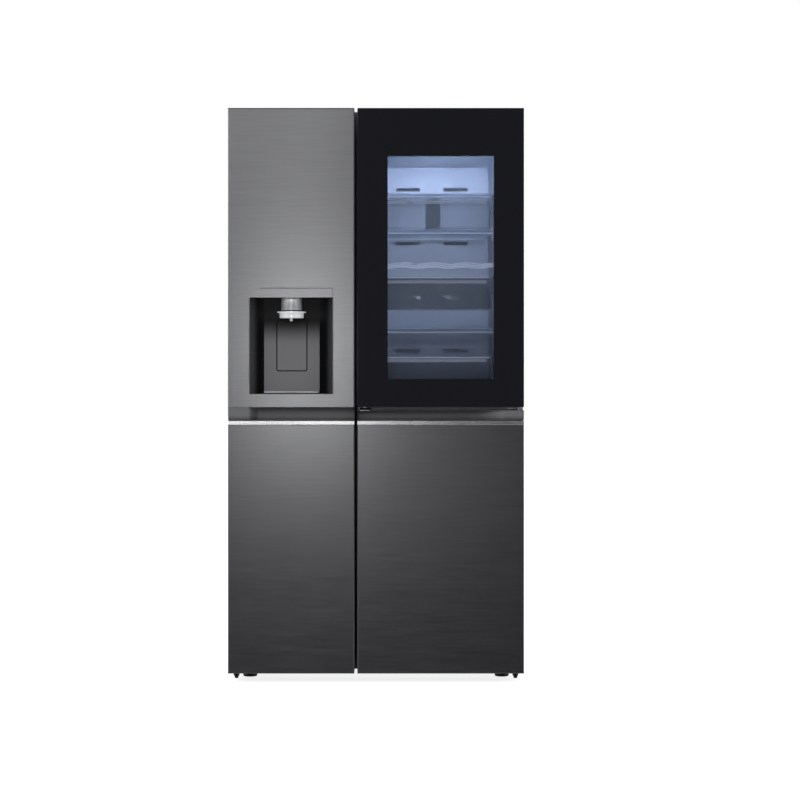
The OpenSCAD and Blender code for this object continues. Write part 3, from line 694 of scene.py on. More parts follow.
def pocket_piece(name, node, body, closed_from, closed_to, mirror):
    """Grip pocket between the panels: scooped to nothing at its outer end and open at its inner end."""
    low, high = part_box(node)
    front, back = low.y, high.y
    lip, floor, top = low.z, strip[1].z + 0.2 * MM, high.z
    shelf_y = front + 9.5 * MM
    wall, ledge = 2.5 * MM, 0.4 * MM

    def ring(x, depth, deep):
        def into(y):
            return front + 0.8 * depth * (y - front)
        bottom = lip if deep else floor - 0.1 * MM
        sink = floor + wall + depth * (lip + 3 * MM - floor - wall)
        set_back = into(front + 10 * MM)
        outer = [(set_back, top), (back, top), (back, bottom), (shelf_y, bottom), (shelf_y, floor),
                 (front, floor)]
        inner = [(front, floor + ledge), (into(front + 12 * MM), floor + ledge),
                 (into(front + 13 * MM), sink),
                 (into(back - 8 * MM), sink), (into(back - 3 * MM), sink + depth * 6 * MM)]
        curve = [(into(back - 3 * MM - 10 * MM * (1 - cosd(a))),
                  top - wall - 12 * MM * (1 - sind(a))) for a in QUARTER]
        mouth = [(set_back, top - ledge)]
        return [(x, y, z) for y, z in outer + inner + curve + mouth]

    tucked = 1.8 * MM
    steps = 14
    ramp = [closed_from + (closed_to - closed_from) * i / steps for i in range(steps + 1)]
    outer_end, inner_end = (high.x, low.x) if mirror else (low.x, high.x)
    sign = -1 if mirror else 1
    rings = [ring(outer_end, 0.012, False), ring(outer_end + sign * tucked, 0.012, False),
             ring(outer_end + sign * (tucked + 0.1 * MM), 0.012, True)]
    rings += [ring(x, 0.012 + 0.988 * smoothstep((x - closed_from) / (closed_to - closed_from)), True)
              for x in ramp]
    rings += [ring(inner_end - sign * (tucked + 0.1 * MM), 1, True),
              ring(inner_end - sign * tucked, 1, False),
              ring(inner_end, 1, False)]
    Piece(name).loft(rings, pocket_plastic_painted_shade).finish(body, "dark_plastic", [node], smooth=38)


def dispenser():
    """Black housing with a concave recess, the grey plate in it, the rim, the control bar and the spouts."""
    low, high = housing
    recess_top = control[0].z - 0.2 * MM
    recess_floor = low.z + 3 * MM
    mouth, rear, depth = 127 * MM, 86 * MM, high.y - low.y - 3 * MM
    arc = 14

    def wall_curve(sign):
        points = []
        for i in range(arc + 1):
            angle = math.radians(90 * i / arc)
            points.append((dispenser_x + sign * (rear + (mouth - rear) * math.cos(angle)),
                           low.y + 6 * MM + (depth - 12 * MM) * math.sin(angle) ** 0.9))
        return points

    left, right = wall_curve(-1), wall_curve(1)
    channel = [(dispenser_x - mouth, low.y)] + left + [(dispenser_x - rear, low.y + depth)]
    channel += [(dispenser_x + rear, low.y + depth)] + right[::-1] + [(dispenser_x + mouth, low.y)]
    outline = [(low.x, low.y)] + channel + [(high.x, low.y), (high.x, high.y), (low.x, high.y)]
    shell = Piece("dispenser_shell")
    shell.prism("Z", outline, recess_floor, recess_top, recess_painted_light_and_shade)
    shell.box(low, (high.x, high.y, recess_floor), black_plastic, bevel=0.4 * MM)
    shell.box((low.x, low.y + 6 * MM, recess_top), high, black_plastic, bevel=0.4 * MM)
    pad_y = high.y - 27 * MM
    hole_w, hole_z0, hole_z1 = 48.5 * MM, 958 * MM, 1120 * MM
    outer = rounded_rectangle(dispenser_x - rear, dispenser_x + rear, recess_floor + 0.4 * MM, 1122 * MM,
                              1 * MM, 6)
    inner = rounded_rectangle(dispenser_x - hole_w, dispenser_x + hole_w, hole_z0, hole_z1, 8 * MM, 6)
    rings = []
    for outline, y in ((outer, pad_y), (outer, pad_y - 3.6 * MM),
                       ([(u * 0.999 + dispenser_x * 0.001, v) for u, v in outer], pad_y - 4 * MM),
                       (inner, pad_y - 4 * MM), (inner, pad_y)):
        rings.append([(u, y, v) for u, v in outline])
    shell.loft(rings, plate_grey_painted_shadow, loop=True)
    shell.finish("freezer_door", "black_plastic", ["dispenser_housing"], smooth=30)

    rim = Piece("dispenser_rim")
    profile = [(0, low.y + 3 * MM), (0, low.y - 0.5 * MM), (-0.5 * MM, low.y - 0.9 * MM),
               (-1.6 * MM, low.y - 0.9 * MM),
               (-2.0 * MM, low.y - 0.5 * MM), (-2.0 * MM, low.y + 3 * MM)]
    rim.surround(low.x, high.x, low.z, high.z, 1.5 * MM, profile, rim_steel)
    rim.finish("freezer_door", "bright_strip")

    bar = Piece("dispenser_control_bar")
    bar.box((control[0].x + 1 * MM, control[0].y - 0.3 * MM, control[0].z),
            (control[1].x - 1 * MM, control[1].y, control[1].z - 2 * MM),
            panel_steel, bevel=0.6 * MM, segments=3)
    edge_z = control[0].z
    bar.box((control[0].x + 1 * MM, control[0].y - 0.7 * MM, edge_z),
            (control[1].x - 1 * MM, control[0].y + 3 * MM, edge_z + 1.4 * MM),
            rim_silver, bevel=0.3 * MM)
    # a shadow line along the top and down the right end
    line_y = control[0].y - 0.45 * MM
    line_x = control[1].x - 4.5 * MM
    bar.box((control[0].x + 34 * MM, line_y, control[1].z - 5.2 * MM),
            (line_x, line_y + 0.4 * MM, control[1].z - 4.2 * MM),
            black_plastic, bevel=0.1 * MM)
    bar.box((line_x, line_y, control[0].z + 3 * MM), (line_x + 1.1 * MM, line_y + 0.4 * MM,
                                                      control[1].z - 4.2 * MM),
            black_plastic, bevel=0.1 * MM)
    mark_y = control[0].y - 0.42 * MM
    for i in range(5):
        x = control[0].x + (14 + 7 * i) * MM
        bar.box((x, mark_y, 1203.6 * MM), (x + 4.2 * MM, mark_y + 0.6 * MM, 1205 * MM), mark_grey,
                bevel=0.1 * MM)
    ring_x, ring_z = control[1].x - 13 * MM, 1203 * MM
    bar.lathe("Y", ring_x, ring_z, [(3.2 * MM, mark_y + 0.5 * MM), (3.2 * MM, mark_y), (4.0 * MM, mark_y),
                                    (4.0 * MM, mark_y + 0.5 * MM)],
              mark_grey, closed=True)
    bar.box((ring_x - 0.5 * MM, mark_y, ring_z + 2.4 * MM), (ring_x + 0.5 * MM, mark_y + 0.5 * MM,
                                                             ring_z + 6.4 * MM), mark_grey, bevel=0.1 * MM)
    bar.finish("freezer_door", "door_steel", ["dispenser_panel"])

    spout_y = nozzle[0].y + 44 * MM
    top = nozzle[1].z
    spouts = Piece("dispenser_spouts")
    for profile, y, material, sides in (
            ([(26, 1147.4), (31.9, 1147.4), (32.5, 1148), (32.5, top / MM), (26, top / MM)],
             spout_y, spout_satin, 64),
            ([(26, 1142), (30.5, 1142), (30.5, 1148), (26, 1148)], spout_y, black_plastic, 64),
            ([(27, 1124), (35.8, 1123), (37, 1123.8), (37.6, 1127), (37.8, 1136), (38.6, 1138.4),
              (44.6, 1139.6),
              (45.2, 1140.4), (45.2, 1142), (44.4, 1143), (27, 1143)], spout_y, spout_chrome_painted_glow, 64),
            ([(22, 1128), (26.8, 1126), (26.8, 1142), (22, 1142)], spout_y, dark_plastic, 64),
            ([(2.5, 1113), (3.9, 1113), (4.5, 1113.8), (4.5, 1130), (2.5, 1130)],
             spout_y - 31 * MM, white_plastic, 32)):
        spouts.lathe("Z", dispenser_x, y, in_metres(profile), material, sides=sides, closed=True)
    spouts.finish("freezer_door", "chrome", ["dispenser_nozzle"], smooth=30)


PAD_BOTTOM, PAD_TOP = 961, 1117      # heights of the lever pad in millimetres


def lever_pad():
    """The pad is slightly dished, with round corners and a rolled edge."""
    low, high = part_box("dispenser_lever")
    cx, cz = (low.x + high.x) / 2, (PAD_BOTTOM * MM + PAD_TOP * MM) / 2
    half_w, half_h = (high.x - low.x) / 2, (PAD_TOP - PAD_BOTTOM) / 2 * MM
    face, back = low.y, low.y + 5 * MM
    rings = []
    for inset, y in ((0.0, back), (0.0, face + 1.2 * MM), (0.4 * MM, face + 0.35 * MM), (1.3 * MM, face),
                     (6 * MM, face + 0.15 * MM),
                     (14 * MM, face + 0.6 * MM), (24 * MM, face + 1.1 * MM)):
        outline = rounded_rectangle(cx - half_w + inset, cx + half_w - inset, cz - half_h + inset,
                                    cz + half_h - inset,
                                    max(5 * MM - inset * 0.4, 1.5 * MM), 8)
        rings.append([(u, y, v) for u, v in outline])
    pad = Piece("dispenser_pad").loft(rings, plate_grey_painted_shadow)
    pad.rod("X", back + 2 * MM, 1108 * MM, cx - 30 * MM, cx + 30 * MM, 3.4 * MM, dark_plastic,
            bevel=0.4 * MM)
    pad.finish("dispenser_lever", "grey_plastic", ["dispenser_lever"])


def drip_tray_piece():
    low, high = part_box("drip_tray")
    tray = Piece("drip_tray_dish")
    tray.tub(low, (high.x, high.y, high.z - 1.6 * MM), 1.6 * MM, 2 * MM, black_plastic)
    slats = 19
    pitch = (high.x - low.x - 8 * MM) / slats
    for i in range(slats):
        x = low.x + 4 * MM + pitch * (i + 0.5)
        tray.box((x - 1.3 * MM, low.y + 5 * MM, high.z - 2.6 * MM), (x + 1.3 * MM, high.y - 3 * MM, high.z),
                 grey_plastic, bevel=0.5 * MM)
    for y in (low.y + 1.5 * MM, high.y - 5 * MM):
        tray.box((low.x + 1.6 * MM, y, high.z - 2.6 * MM), (high.x - 1.6 * MM, y + 3.5 * MM, high.z),
                 grey_plastic, bevel=0.5 * MM)
    tray.box((low.x, low.y - 1.5 * MM, low.z + 1.6 * MM), (high.x, low.y + 1.4 * MM, high.z - 0.6 * MM),
             tray_trim, bevel=0.8 * MM, segments=3)
    tray.finish("drip_tray", "black_plastic", ["drip_tray"])


def glass_door():
    """Black printed glass with a clear window, over the moulded frame."""
    low, high = pane
    window = (inner_pane[0].x - 0.2 * MM, inner_pane[1].x + 0.2 * MM, inner_pane[0].z - 0.2 * MM,
              inner_pane[1].z + 0.2 * MM)
    rings = []
    edge = 1.0 * MM
    outline = [rounded_rectangle(low.x + i, high.x - i, low.z + i, high.z - i, 2.5 * MM - i, 5)
               for i in (0, edge * 0.35, edge)]
    opening = rounded_rectangle(*window, 0.6 * MM, 5)
    for points, y in ((outline[0], high.y), (outline[0], low.y + edge), (outline[1], low.y + edge * 0.35),
                      (outline[2], low.y),
                      (opening, low.y), (opening, high.y)):
        rings.append([(u, y, v) for u, v in points])
    glass = Piece("outer_door_pane").loft(rings, black_glass, loop=True)
    glass.box((window[0], low.y + 0.02 * MM, window[2]), (window[1], high.y - 0.2 * MM, window[3]),
              window_glass)
    glass.finish("outer_door", "door_glass", ["outer_door_glass"])
    keep("outer_door_frame", black_plastic, bevel=1.2 * MM)
    keep("outer_door_inner_glass", inner_glass, bevel=0.5 * MM)
    seal = Piece("outer_door_gasket")
    y0, y1 = door_frame[1].y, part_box("fridge_door_bins")[0].y - 4 * MM
    x0, x1 = door_frame[0].x + 24 * MM, door_frame[1].x - 58 * MM
    z0, z1 = door_frame[0].z + 30 * MM, door_frame[1].z - 24 * MM
    profile = [(0, y0 - 1 * MM), (4 * MM, y0 - 1 * MM), (4 * MM, y0 + 1.5 * MM), (6 * MM, y0 + 3 * MM),
               (6 * MM, y1 - 1.2 * MM),
               (4 * MM, y1 - 0.4 * MM), (-4 * MM, y1 - 0.4 * MM), (-6 * MM, y1 - 1.2 * MM),
               (-6 * MM, y0 + 3 * MM), (-4 * MM, y0 + 1.5 * MM),
               (-4 * MM, y0 - 1 * MM)]
    seal.surround(x0, x1, z0, z1, 12 * MM, profile, rubber).finish("outer_door", "rubber")
    low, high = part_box("release_lever")
    lever = Piece("release_lever_blade")
    lip_z = low.z - 2.5 * MM          # its front edge hangs lower, clear of the grip pocket
    lip_back = low.y + 2.4 * MM
    stem_x = low.x + 15.5 * MM
    blade_top = upper_z - 1.5 * MM
    lever.prism("X", [(low.y + 5 * MM, blade_top), (low.y + 1.2 * MM, lip_z + 3 * MM),
                      (low.y, lip_z + 1.4 * MM), (low.y + 0.6 * MM, lip_z),
                      (lip_back, lip_z), (lip_back, low.z), (high.y, low.z), (high.y, blade_top)], low.x,
                      high.x, black_plastic,
                bevel=0.3 * MM)
    lever.box((low.x + 0.5 * MM, low.y - 0.6 * MM, lip_z + 0.2 * MM),
              (high.x - 0.5 * MM, low.y + 1.4 * MM, lip_z + 2.2 * MM), rim_silver,
              bevel=0.4 * MM)
    lever.rod("Z", stem_x, low.y + 8.5 * MM, blade_top - 0.5 * MM, high.z, 3.9 * MM, satin_silver_painted_glow,
              bevel=0.4 * MM)
    lever.finish("release_lever", "bright_strip", ["release_lever"])
    tab = Piece("lower_hinge_tab")
    tab.box((door_frame[1].x - 47 * MM, pane[0].y + 3 * MM, upper_z - 6 * MM),
            (door_frame[1].x - 22 * MM, pane[0].y + 9 * MM, upper_z - 1.5 * MM), rim_silver, bevel=0.5 * MM)
    tab.finish("fridge_door", "hinge_steel")


pocket_plastic_painted_shade = moulded("pocket_plastic_painted_shade", (0.2, 0.202, 0.21), 0.36)
# painted shade: the pocket darkens towards its bottom, standing in for the shadow under the strip's lip
paint_shade(pocket_plastic_painted_shade, "Z", 838 * MM, 14 * MM, 29 * MM, 0.4)
recess_painted_light_and_shade = moulded("recess_painted_light_and_shade", (0.13, 0.131, 0.14), 0.4, contrast=0.02, Specular_IOR_Level=0.25)
tray_trim = metal("tray_trim", (0.4, 0.402, 0.41), 0.36)
plate_grey_painted_shadow = moulded("plate_grey_painted_shadow", (0.245, 0.245, 0.256), 0.4, grain=1200, depth=0.02,
                     Specular_IOR_Level=0.15)
# painted shadow: the plate and the lever pad darken towards their tops, standing in for the shade under the
# control bar and the spouts
paint_shade(plate_grey_painted_shadow, "Z", 889 * MM, 148 * MM, 230 * MM, 0.05)
# painted light and shade: the recess walls are lighter at the mouth, where the front edges would catch light,
# and near black deeper in
paint_shade(recess_painted_light_and_shade, "X", dispenser_x, 127 * MM, 104 * MM, 0.07)
rim_silver = metal("rim_silver", (0.62, 0.625, 0.64), 0.3)
rim_steel = metal("rim_steel", (0.42, 0.425, 0.435), 0.33)
mark_grey = moulded("mark_grey", (0.42, 0.42, 0.43), 0.5)
inner_glass = clear("inner_glass", (0.5, 0.56, 0.66), 0.06, 0.5, roughness=0.02)

door_skins()
strip_piece("freezer_strip", "freezer_handle_strip", "freezer_door")
strip_piece("fridge_strip", "fridge_handle_strip", "fridge_door")
pocket_piece("freezer_pocket", "freezer_handle", "freezer_door", freezer_pocket[0].x + 62 * MM,
             freezer_pocket[0].x + 92 * MM, False)
pocket_piece("fridge_pocket", "fridge_handle", "fridge_door", fridge_pocket[1].x - 58 * MM,
             fridge_pocket[1].x - 165 * MM, True)
dispenser()
lever_pad()
drip_tray_piece()
glass_door()


# ---- Doors: backs, edges and seals ----

def plate_with_rim(name, node, rim_x, foam_edge, opening=None):
    """A door's moulded back: a sheet, a raised round-cornered rim, a skirt and cheeks over the foam."""
    sheet_low, sheet_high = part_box(node)
    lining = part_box("cavity_liners")
    rim_low = Vector((rim_x[0], 0, lining[0].z + 13.5 * MM))
    rim_high = Vector((rim_x[1], sheet_high.y, lining[1].z - 15.5 * MM))
    back = Piece(name)
    y0, y1 = sheet_low.y, sheet_low.y + 4 * MM
    outline = rounded_rectangle(sheet_low.x, sheet_high.x, sheet_low.z, sheet_high.z, 8 * MM)
    if opening:
        inner = rounded_rectangle(*opening, 12 * MM)
        rings = [(outline, y0), (outline, y1 - 1.2 * MM), (inset_loop(outline, 1.2 * MM), y1), (inner, y1),
                 (inner, y0)]
        back.loft(stacked(rings), liner_white, loop=True)
    else:
        back.prism("Y", outline, y0, y1, liner_white, bevel=1.2 * MM)
    wall, top = 14 * MM, rim_high.y
    round_off = [(-4 * MM * (1 - cosd(a)), top - 4 * MM * (1 - sind(a))) for a in QUARTER]
    profile = [(0.5 * MM, y1 - 0.5 * MM), (0, y1 + 1 * MM)] + round_off
    profile += [(-wall - u, v) for u, v in reversed(round_off)] + [(-wall, y1 + 1 * MM),
            (-wall - 0.5 * MM, y1 - 0.5 * MM)]
    back.surround(rim_low.x, rim_high.x, rim_low.z, rim_high.z, 24 * MM, profile, liner_white, steps=8)
    skirt_low, skirt_high = foam_edge
    y_skin = skirt_high.y + FIT
    skirt = [(-0.6 * MM, y_skin), (-0.6 * MM, y1 - 2.5 * MM), (-3 * MM, y1 - 0.1 * MM),
             (-7 * MM, y1 + 0.3 * MM), (-7 * MM, y1 - 1 * MM), (-1.9 * MM, y1 - 4 * MM),
             (-1.9 * MM, y_skin)]
    back.surround(skirt_low.x, skirt_high.x, sheet_low.z, sheet_high.z, 4 * MM, skirt, dark_plastic)
    # cheeks over the ends of the foam behind the grip pocket
    for x in (skirt_low.x + 0.2 * MM, skirt_high.x - 1.3 * MM):
        back.box((x, freezer_pocket[1].y, strip[0].z + 0.3 * MM),
                 (x + 1.1 * MM, y_skin + 1 * MM, upper_z - 0.4 * MM),
                 dark_plastic, bevel=0.3 * MM)
    return back, (rim_low.x + wall, rim_high.x - wall)


def inset_loop(points, inset):
    """Moves each point of a closed outline towards its middle by inset along both axes."""
    mid_u = (min(p[0] for p in points) + max(p[0] for p in points)) / 2
    mid_v = (min(p[1] for p in points) + max(p[1] for p in points)) / 2
    half_u = max(p[0] for p in points) - mid_u
    half_v = max(p[1] for p in points) - mid_v
    return [(mid_u + (u - mid_u) * (half_u - inset) / half_u,
             mid_v + (v - mid_v) * (half_v - inset) / half_v) for u, v in points]


def bin_pegs(back, rim, bins, y):
    """Moulded pegs at both ends of each bin."""
    for low, high in bins:
        for wall_x, bin_x in ((rim[0], low.x), (rim[1], high.x)):
            x0, x1 = sorted((wall_x, bin_x))
            if x1 - x0 > 5 * MM:
                back.box((x0 - 1 * MM, y - 1 * MM, low.z + 8 * MM),
                         (x1 - 0.6 * MM if wall_x < bin_x else x1 + 1 * MM, y + 46 * MM, low.z + 62 * MM),
                         liner_white, bevel=2.5 * MM, segments=3)


def door_backs():
    freezer_bins = solids("freezer_door_bins")
    back, rim = plate_with_rim("freezer_door_back", "freezer_door_liner", (-385 * MM, -120 * MM),
                               freezer_skin)
    bin_pegs(back, rim, freezer_bins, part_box("freezer_door_liner")[0].y + 4 * MM)
    back.finish("freezer_door", "liner", ["freezer_door_liner"])
    body_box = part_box("fridge_door_liner")
    opening = (13 * MM, 371 * MM, 900 * MM, 1662 * MM)
    edge = (Vector((fridge_skin[0].x, fridge_skin[0].y, 0)), fridge_skin[1])
    back, rim = plate_with_rim("fridge_door_back", "fridge_door_liner", (-1.5 * MM, 385 * MM), edge,
                               opening)
    low_bins = [b for b in solids("fridge_door_bins") if b[1].z < 0.85]
    bin_pegs(back, rim, low_bins, body_box[0].y + 4 * MM)
    back.finish("fridge_door", "liner", ["fridge_door_liner"])


def inner_door_body():
    """Foamed body of the inner door: a frame round the opening, and plain foam behind the lower panel."""
    low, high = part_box("fridge_door_foam")
    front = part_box("fridge_door_bins")[0].y - 4 * MM
    rail = upper_z - 9 * MM
    opening = rounded_rectangle(0, 388 * MM, 900 * MM, 1700 * MM, 10 * MM)
    outer = [rounded_rectangle(low.x - 1 * MM + i, high.x + 1 * MM - i, rail + i, high.z - i, 5 * MM)
             for i in (0, 0.7 * MM, 2.5 * MM)]
    mouth = [inset_loop(opening, -i) for i in (3 * MM, 1 * MM, 0)]
    body = Piece("inner_door_frame")
    rings = [(outer[0], high.y), (outer[0], front + 2.5 * MM), (outer[1], front + 0.7 * MM),
             (outer[2], front), (mouth[0], front),
             (mouth[1], front + 1 * MM), (mouth[2], front + 3 * MM), (mouth[2], high.y)]
    body.loft(stacked(rings), liner_grey, loop=True)
    body.box((low.x, fridge_pocket[1].y + FIT, fridge_pocket[0].z), (high.x, high.y, rail - FIT),
             foam_material)
    body.box((low.x, fridge_skin[0].y + SHEET + 0.2 * MM, low.z),
             (high.x, high.y, fridge_pocket[0].z - FIT), foam_material)
    edge = [(-0.5 * MM, front + 3 * MM), (0.3 * MM, front + 3 * MM), (0.3 * MM, high.y),
            (-0.5 * MM, high.y)]
    body.surround(low.x - 1 * MM, high.x + 1 * MM, rail, high.z, 5 * MM, edge, dark_plastic)
    body.finish("fridge_door", "foam", ["fridge_door_foam"])


def gasket_piece(name, node, body):
    """Soft bellows seal with its fixing foot on the door and its flat magnet face on the case."""
    low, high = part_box(node)
    y0, y1 = low.y - FIT, high.y
    profile = [(-4 * MM, y0), (-3 * MM, y0 + 2.5 * MM), (-0.5 * MM, y0 + 4 * MM), (0, y0 + 6.5 * MM),
               (-2.5 * MM, y0 + 8.5 * MM), (-0.5 * MM, y0 + 10.5 * MM),
               (-0.5 * MM, y1 - 1 * MM), (-1.5 * MM, y1), (-16.5 * MM, y1), (-18 * MM, y1 - 1 * MM),
               (-18.5 * MM, y0 + 10.5 * MM), (-16.5 * MM, y0 + 8.5 * MM),
               (-19.5 * MM, y0 + 6.5 * MM), (-19 * MM, y0 + 4 * MM), (-15 * MM, y0 + 2.5 * MM),
               (-14 * MM, y0)]
    Piece(name).surround(low.x, high.x, low.z, high.z, 6 * MM, profile, rubber).finish(body, "rubber",
            [node], smooth=50)


def bins_piece(name, node, body):
    """Clear door bins with round corners, a rolled rim and a silver rail along the front, brightened by a
    painted glow.
    """
    piece = Piece(name)
    lip = 1.6 * MM
    for low, high in solids(node):
        piece.tub((low.x + lip, low.y + lip, low.z), (high.x - lip, high.y - lip, high.z), 2.2 * MM,
                  14 * MM, clear_plastic, lip=lip, draft=2 * MM)
        y = high.y
        piece.box((low.x + 16 * MM, y - 1.9 * MM, high.z - 16 * MM),
                  (high.x - 16 * MM, y - 0.1 * MM, high.z - 6 * MM), satin_silver_painted_glow, bevel=0.6 * MM)
        if low.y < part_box("fridge_door_liner")[0].y:
            piece.box((low.x + 14 * MM, low.y + 0.1 * MM, high.z - 3.6 * MM),
                      (high.x - 14 * MM, low.y + 1.7 * MM, high.z - 0.4 * MM),
                      satin_silver_painted_glow, bevel=0.5 * MM)
    piece.finish(body, "clear_plastic", [node])


def drawer_piece(name, node):
    """Clear drawer with a thicker front, a scooped pull and a silver rail over it, brightened by a painted
    glow.
    """
    low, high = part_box(node)
    front = low.y
    piece = Piece(name)
    lip = 1.5 * MM
    piece.tub((low.x + 2 * MM + lip, front + 5.5 * MM, low.z + 2 * MM),
              (high.x - 2 * MM - lip, high.y - lip, high.z), 2.5 * MM, 10 * MM, clear_plastic,
              lip=lip, draft=1.5 * MM)
    middle, reach, depth, r = (low.x + high.x) / 2, 60 * MM, 26 * MM, 12 * MM
    outline = [(low.x, low.z), (high.x, low.z), (high.x, high.z)]
    notch = [(middle + reach + r - r * sind(a), high.z - r + r * cosd(a)) for a in QUARTER]
    notch += [(middle + reach - r * (1 - cosd(a)), high.z - depth + r * (1 - sind(a))) for a in QUARTER]
    outline += notch + [(2 * middle - u, v) for u, v in reversed(notch)] + [(low.x, high.z)]
    piece.prism("Y", outline, front, front + 6 * MM, drawer_front, bevel=1.2 * MM, segments=3)
    for x0, x1 in ((low.x + 1 * MM, middle - reach - r - 2 * MM),
                   (middle + reach + r + 2 * MM, high.x - 1 * MM)):
        piece.box((x0, front - 0.8 * MM, high.z - 9 * MM), (x1, front + 1.5 * MM, high.z - 4 * MM),
                  satin_silver_painted_glow, bevel=0.6 * MM)
    piece.finish(node, "clear_plastic", [node])


# ---- Cavities ----

STEP_Y, STEP_Z = 80 * MM, 310 * MM       # the floor rises over the machine space


def cavity(name, low, high, shelves, drawer):
    """A cavity's moulded lining with round corners, its step, and the ledges for shelves and a drawer."""
    skin = 1.5 * MM
    x0, x1, z0, z1 = low.x + skin, high.x - skin, low.z + skin, high.z - skin
    rear, r = high.y - skin, 10 * MM
    turns = [math.radians(a) for a in (30, 60, 90)]
    inner = [(low.y, z0, 0), (STEP_Y - r, z0, 0)]
    inner += [(STEP_Y - r + r * math.sin(a), z0 + r * (1 - math.cos(a)), 0) for a in turns]
    inner += [(STEP_Y, STEP_Z - r, 0)]
    inner += [(STEP_Y + r * (1 - math.cos(a)), STEP_Z - r + r * math.sin(a), 0) for a in turns]
    inner += [(rear - r, STEP_Z, 0)]
    inner += [(rear - r + r * math.sin(a), STEP_Z, r * (1 - math.cos(a)) * 0.8) for a in turns]
    outer = [(low.y, z0 - skin, -skin), (STEP_Y + skin, z0 - skin, -skin),
             (STEP_Y + skin, STEP_Z - skin, -skin), (rear + skin, STEP_Z - skin, -skin)]
    rings = []
    for y, floor, inset in inner[::-1] + outer:
        bottom = floor if inset < 0 else floor + inset
        points = rounded_rectangle(x0 + inset, x1 - inset, bottom, z1 - inset, 14 * MM, 4)
        rings.append([(u, y, v) for u, v in points])
    piece = Piece(name).loft(rings, liner_white)
    # each ledge: what it carries, how far it reaches under it, then its set-back, depth and gap below it
    ledges = [(shelf, 9, 4, 8, 0.3) for shelf in shelves] + [(drawer, 10, 8, 9, 1)]
    for (above_low, above_high), reach, set_back, deep, gap in ledges:
        for a, b in ((x0 - 0.5 * MM, above_low.x + reach * MM), (above_high.x - reach * MM, x1 + 0.5 * MM)):
            piece.box((a, above_low.y + set_back * MM, above_low.z - deep * MM),
                      (b, above_high.y, above_low.z - gap * MM), liner_white, bevel=2.5 * MM, segments=3)
    piece.finish("cabinet", "liner", ["cavity_liners"])


def cavities():
    all_shelves = solids("glass_shelves")
    for i, (low, high) in enumerate(solids("cavity_liners")):
        shelves = [s for s in all_shelves if low.x < s[0].x < high.x]
        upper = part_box("freezer_drawer_upper" if i == 0 else "crisper_upper")
        cavity("freezer_lining" if i == 0 else "fridge_lining", low, high, shelves, upper)


def shelves_pieces():
    """Glass shelves with moulded side bands, and trims with a silver line brightened by a painted glow."""
    glass = Piece("shelf_panes")
    for low, high in solids("glass_shelves"):
        glass.box(low, high, shelf_glass, bevel=0.7 * MM)
        for a, b in ((low.x - 0.5 * MM, low.x + 8 * MM), (high.x - 8 * MM, high.x + 0.5 * MM)):
            glass.box((a, low.y + 1 * MM, high.z - 0.6 * MM), (b, high.y + 1 * MM, high.z + 1.6 * MM),
                      clear_trim, bevel=0.7 * MM)
        glass.box((low.x, high.y - 4 * MM, high.z - 0.6 * MM), (high.x, high.y + 1 * MM, high.z + 6 * MM),
                  clear_trim, bevel=0.8 * MM)
    glass.finish("cabinet", "shelf_glass", ["glass_shelves"])
    trims = Piece("shelf_edges")
    for low, high in solids("shelf_trims"):
        r = 3 * MM
        outline = [(high.y, low.z), (low.y + r, low.z)]
        outline += [(low.y + r - r * sind(a), low.z + r - r * cosd(a)) for a in (30, 60, 90)]
        outline += [(low.y + r - r * cosd(a), high.z - r + r * sind(a)) for a in QUARTER]
        outline += [(high.y, high.z)]
        trims.prism("X", outline, low.x, high.x, clear_trim, bevel=0.3 * MM)
        trims.box((low.x + 2 * MM, low.y - 0.7 * MM, low.z + 3.4 * MM),
                  (high.x - 2 * MM, low.y + 0.6 * MM, low.z + 6.2 * MM), satin_silver_painted_glow, bevel=0.5 * MM)
    trims.finish("cabinet", "bright_strip", ["shelf_trims"])


def bottle_rack_piece():
    """Wire rack: bars from front to back, carried by waved cross wires that cradle four bottles."""
    low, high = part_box("bottle_rack")
    rack = Piece("wire_rack")
    waves, steps, height = 4, 64, 5 * MM
    x0, x1 = low.x, high.x
    z_mid = low.z + 2.5 * MM
    for y in (low.y + 2 * MM, (low.y + high.y) / 2, high.y - 2 * MM):
        path = []
        for i in range(steps + 1):
            x = x0 + (x1 - x0) * i / steps
            path.append((x, y, z_mid + height * (1 + math.cos(TURN * waves * (x - x0) / (x1 - x0))) / 2))
        rack.tube(path, 2.4 * MM, satin_silver_painted_glow)
    bars = 13
    for i in range(bars):
        x = x0 + 6 * MM + (x1 - x0 - 12 * MM) * i / (bars - 1)
        z = z_mid + height * (1 + math.cos(TURN * waves * (x - x0) / (x1 - x0))) / 2 + 3.4 * MM
        path = [(x, low.y + 1 * MM, z - 5 * MM), (x, low.y, z - 2 * MM), (x, low.y + 1 * MM, z),
                (x, high.y - 1 * MM, z), (x, high.y, z - 2 * MM),
                (x, high.y - 1 * MM, z - 5 * MM)]
        rack.tube(path, 1.5 * MM, satin_silver_painted_glow, sides=10)
    for x in (x0 - 5 * MM, x1 + 5 * MM):
        rack.box((x - 4.5 * MM, low.y - 4 * MM, low.z - 7 * MM),
                 (x + 4.5 * MM, high.y + 4 * MM, low.z + 9 * MM), clear_trim, bevel=2 * MM, segments=3)
    rack.finish("cabinet", "chrome", ["bottle_rack"], smooth=60)


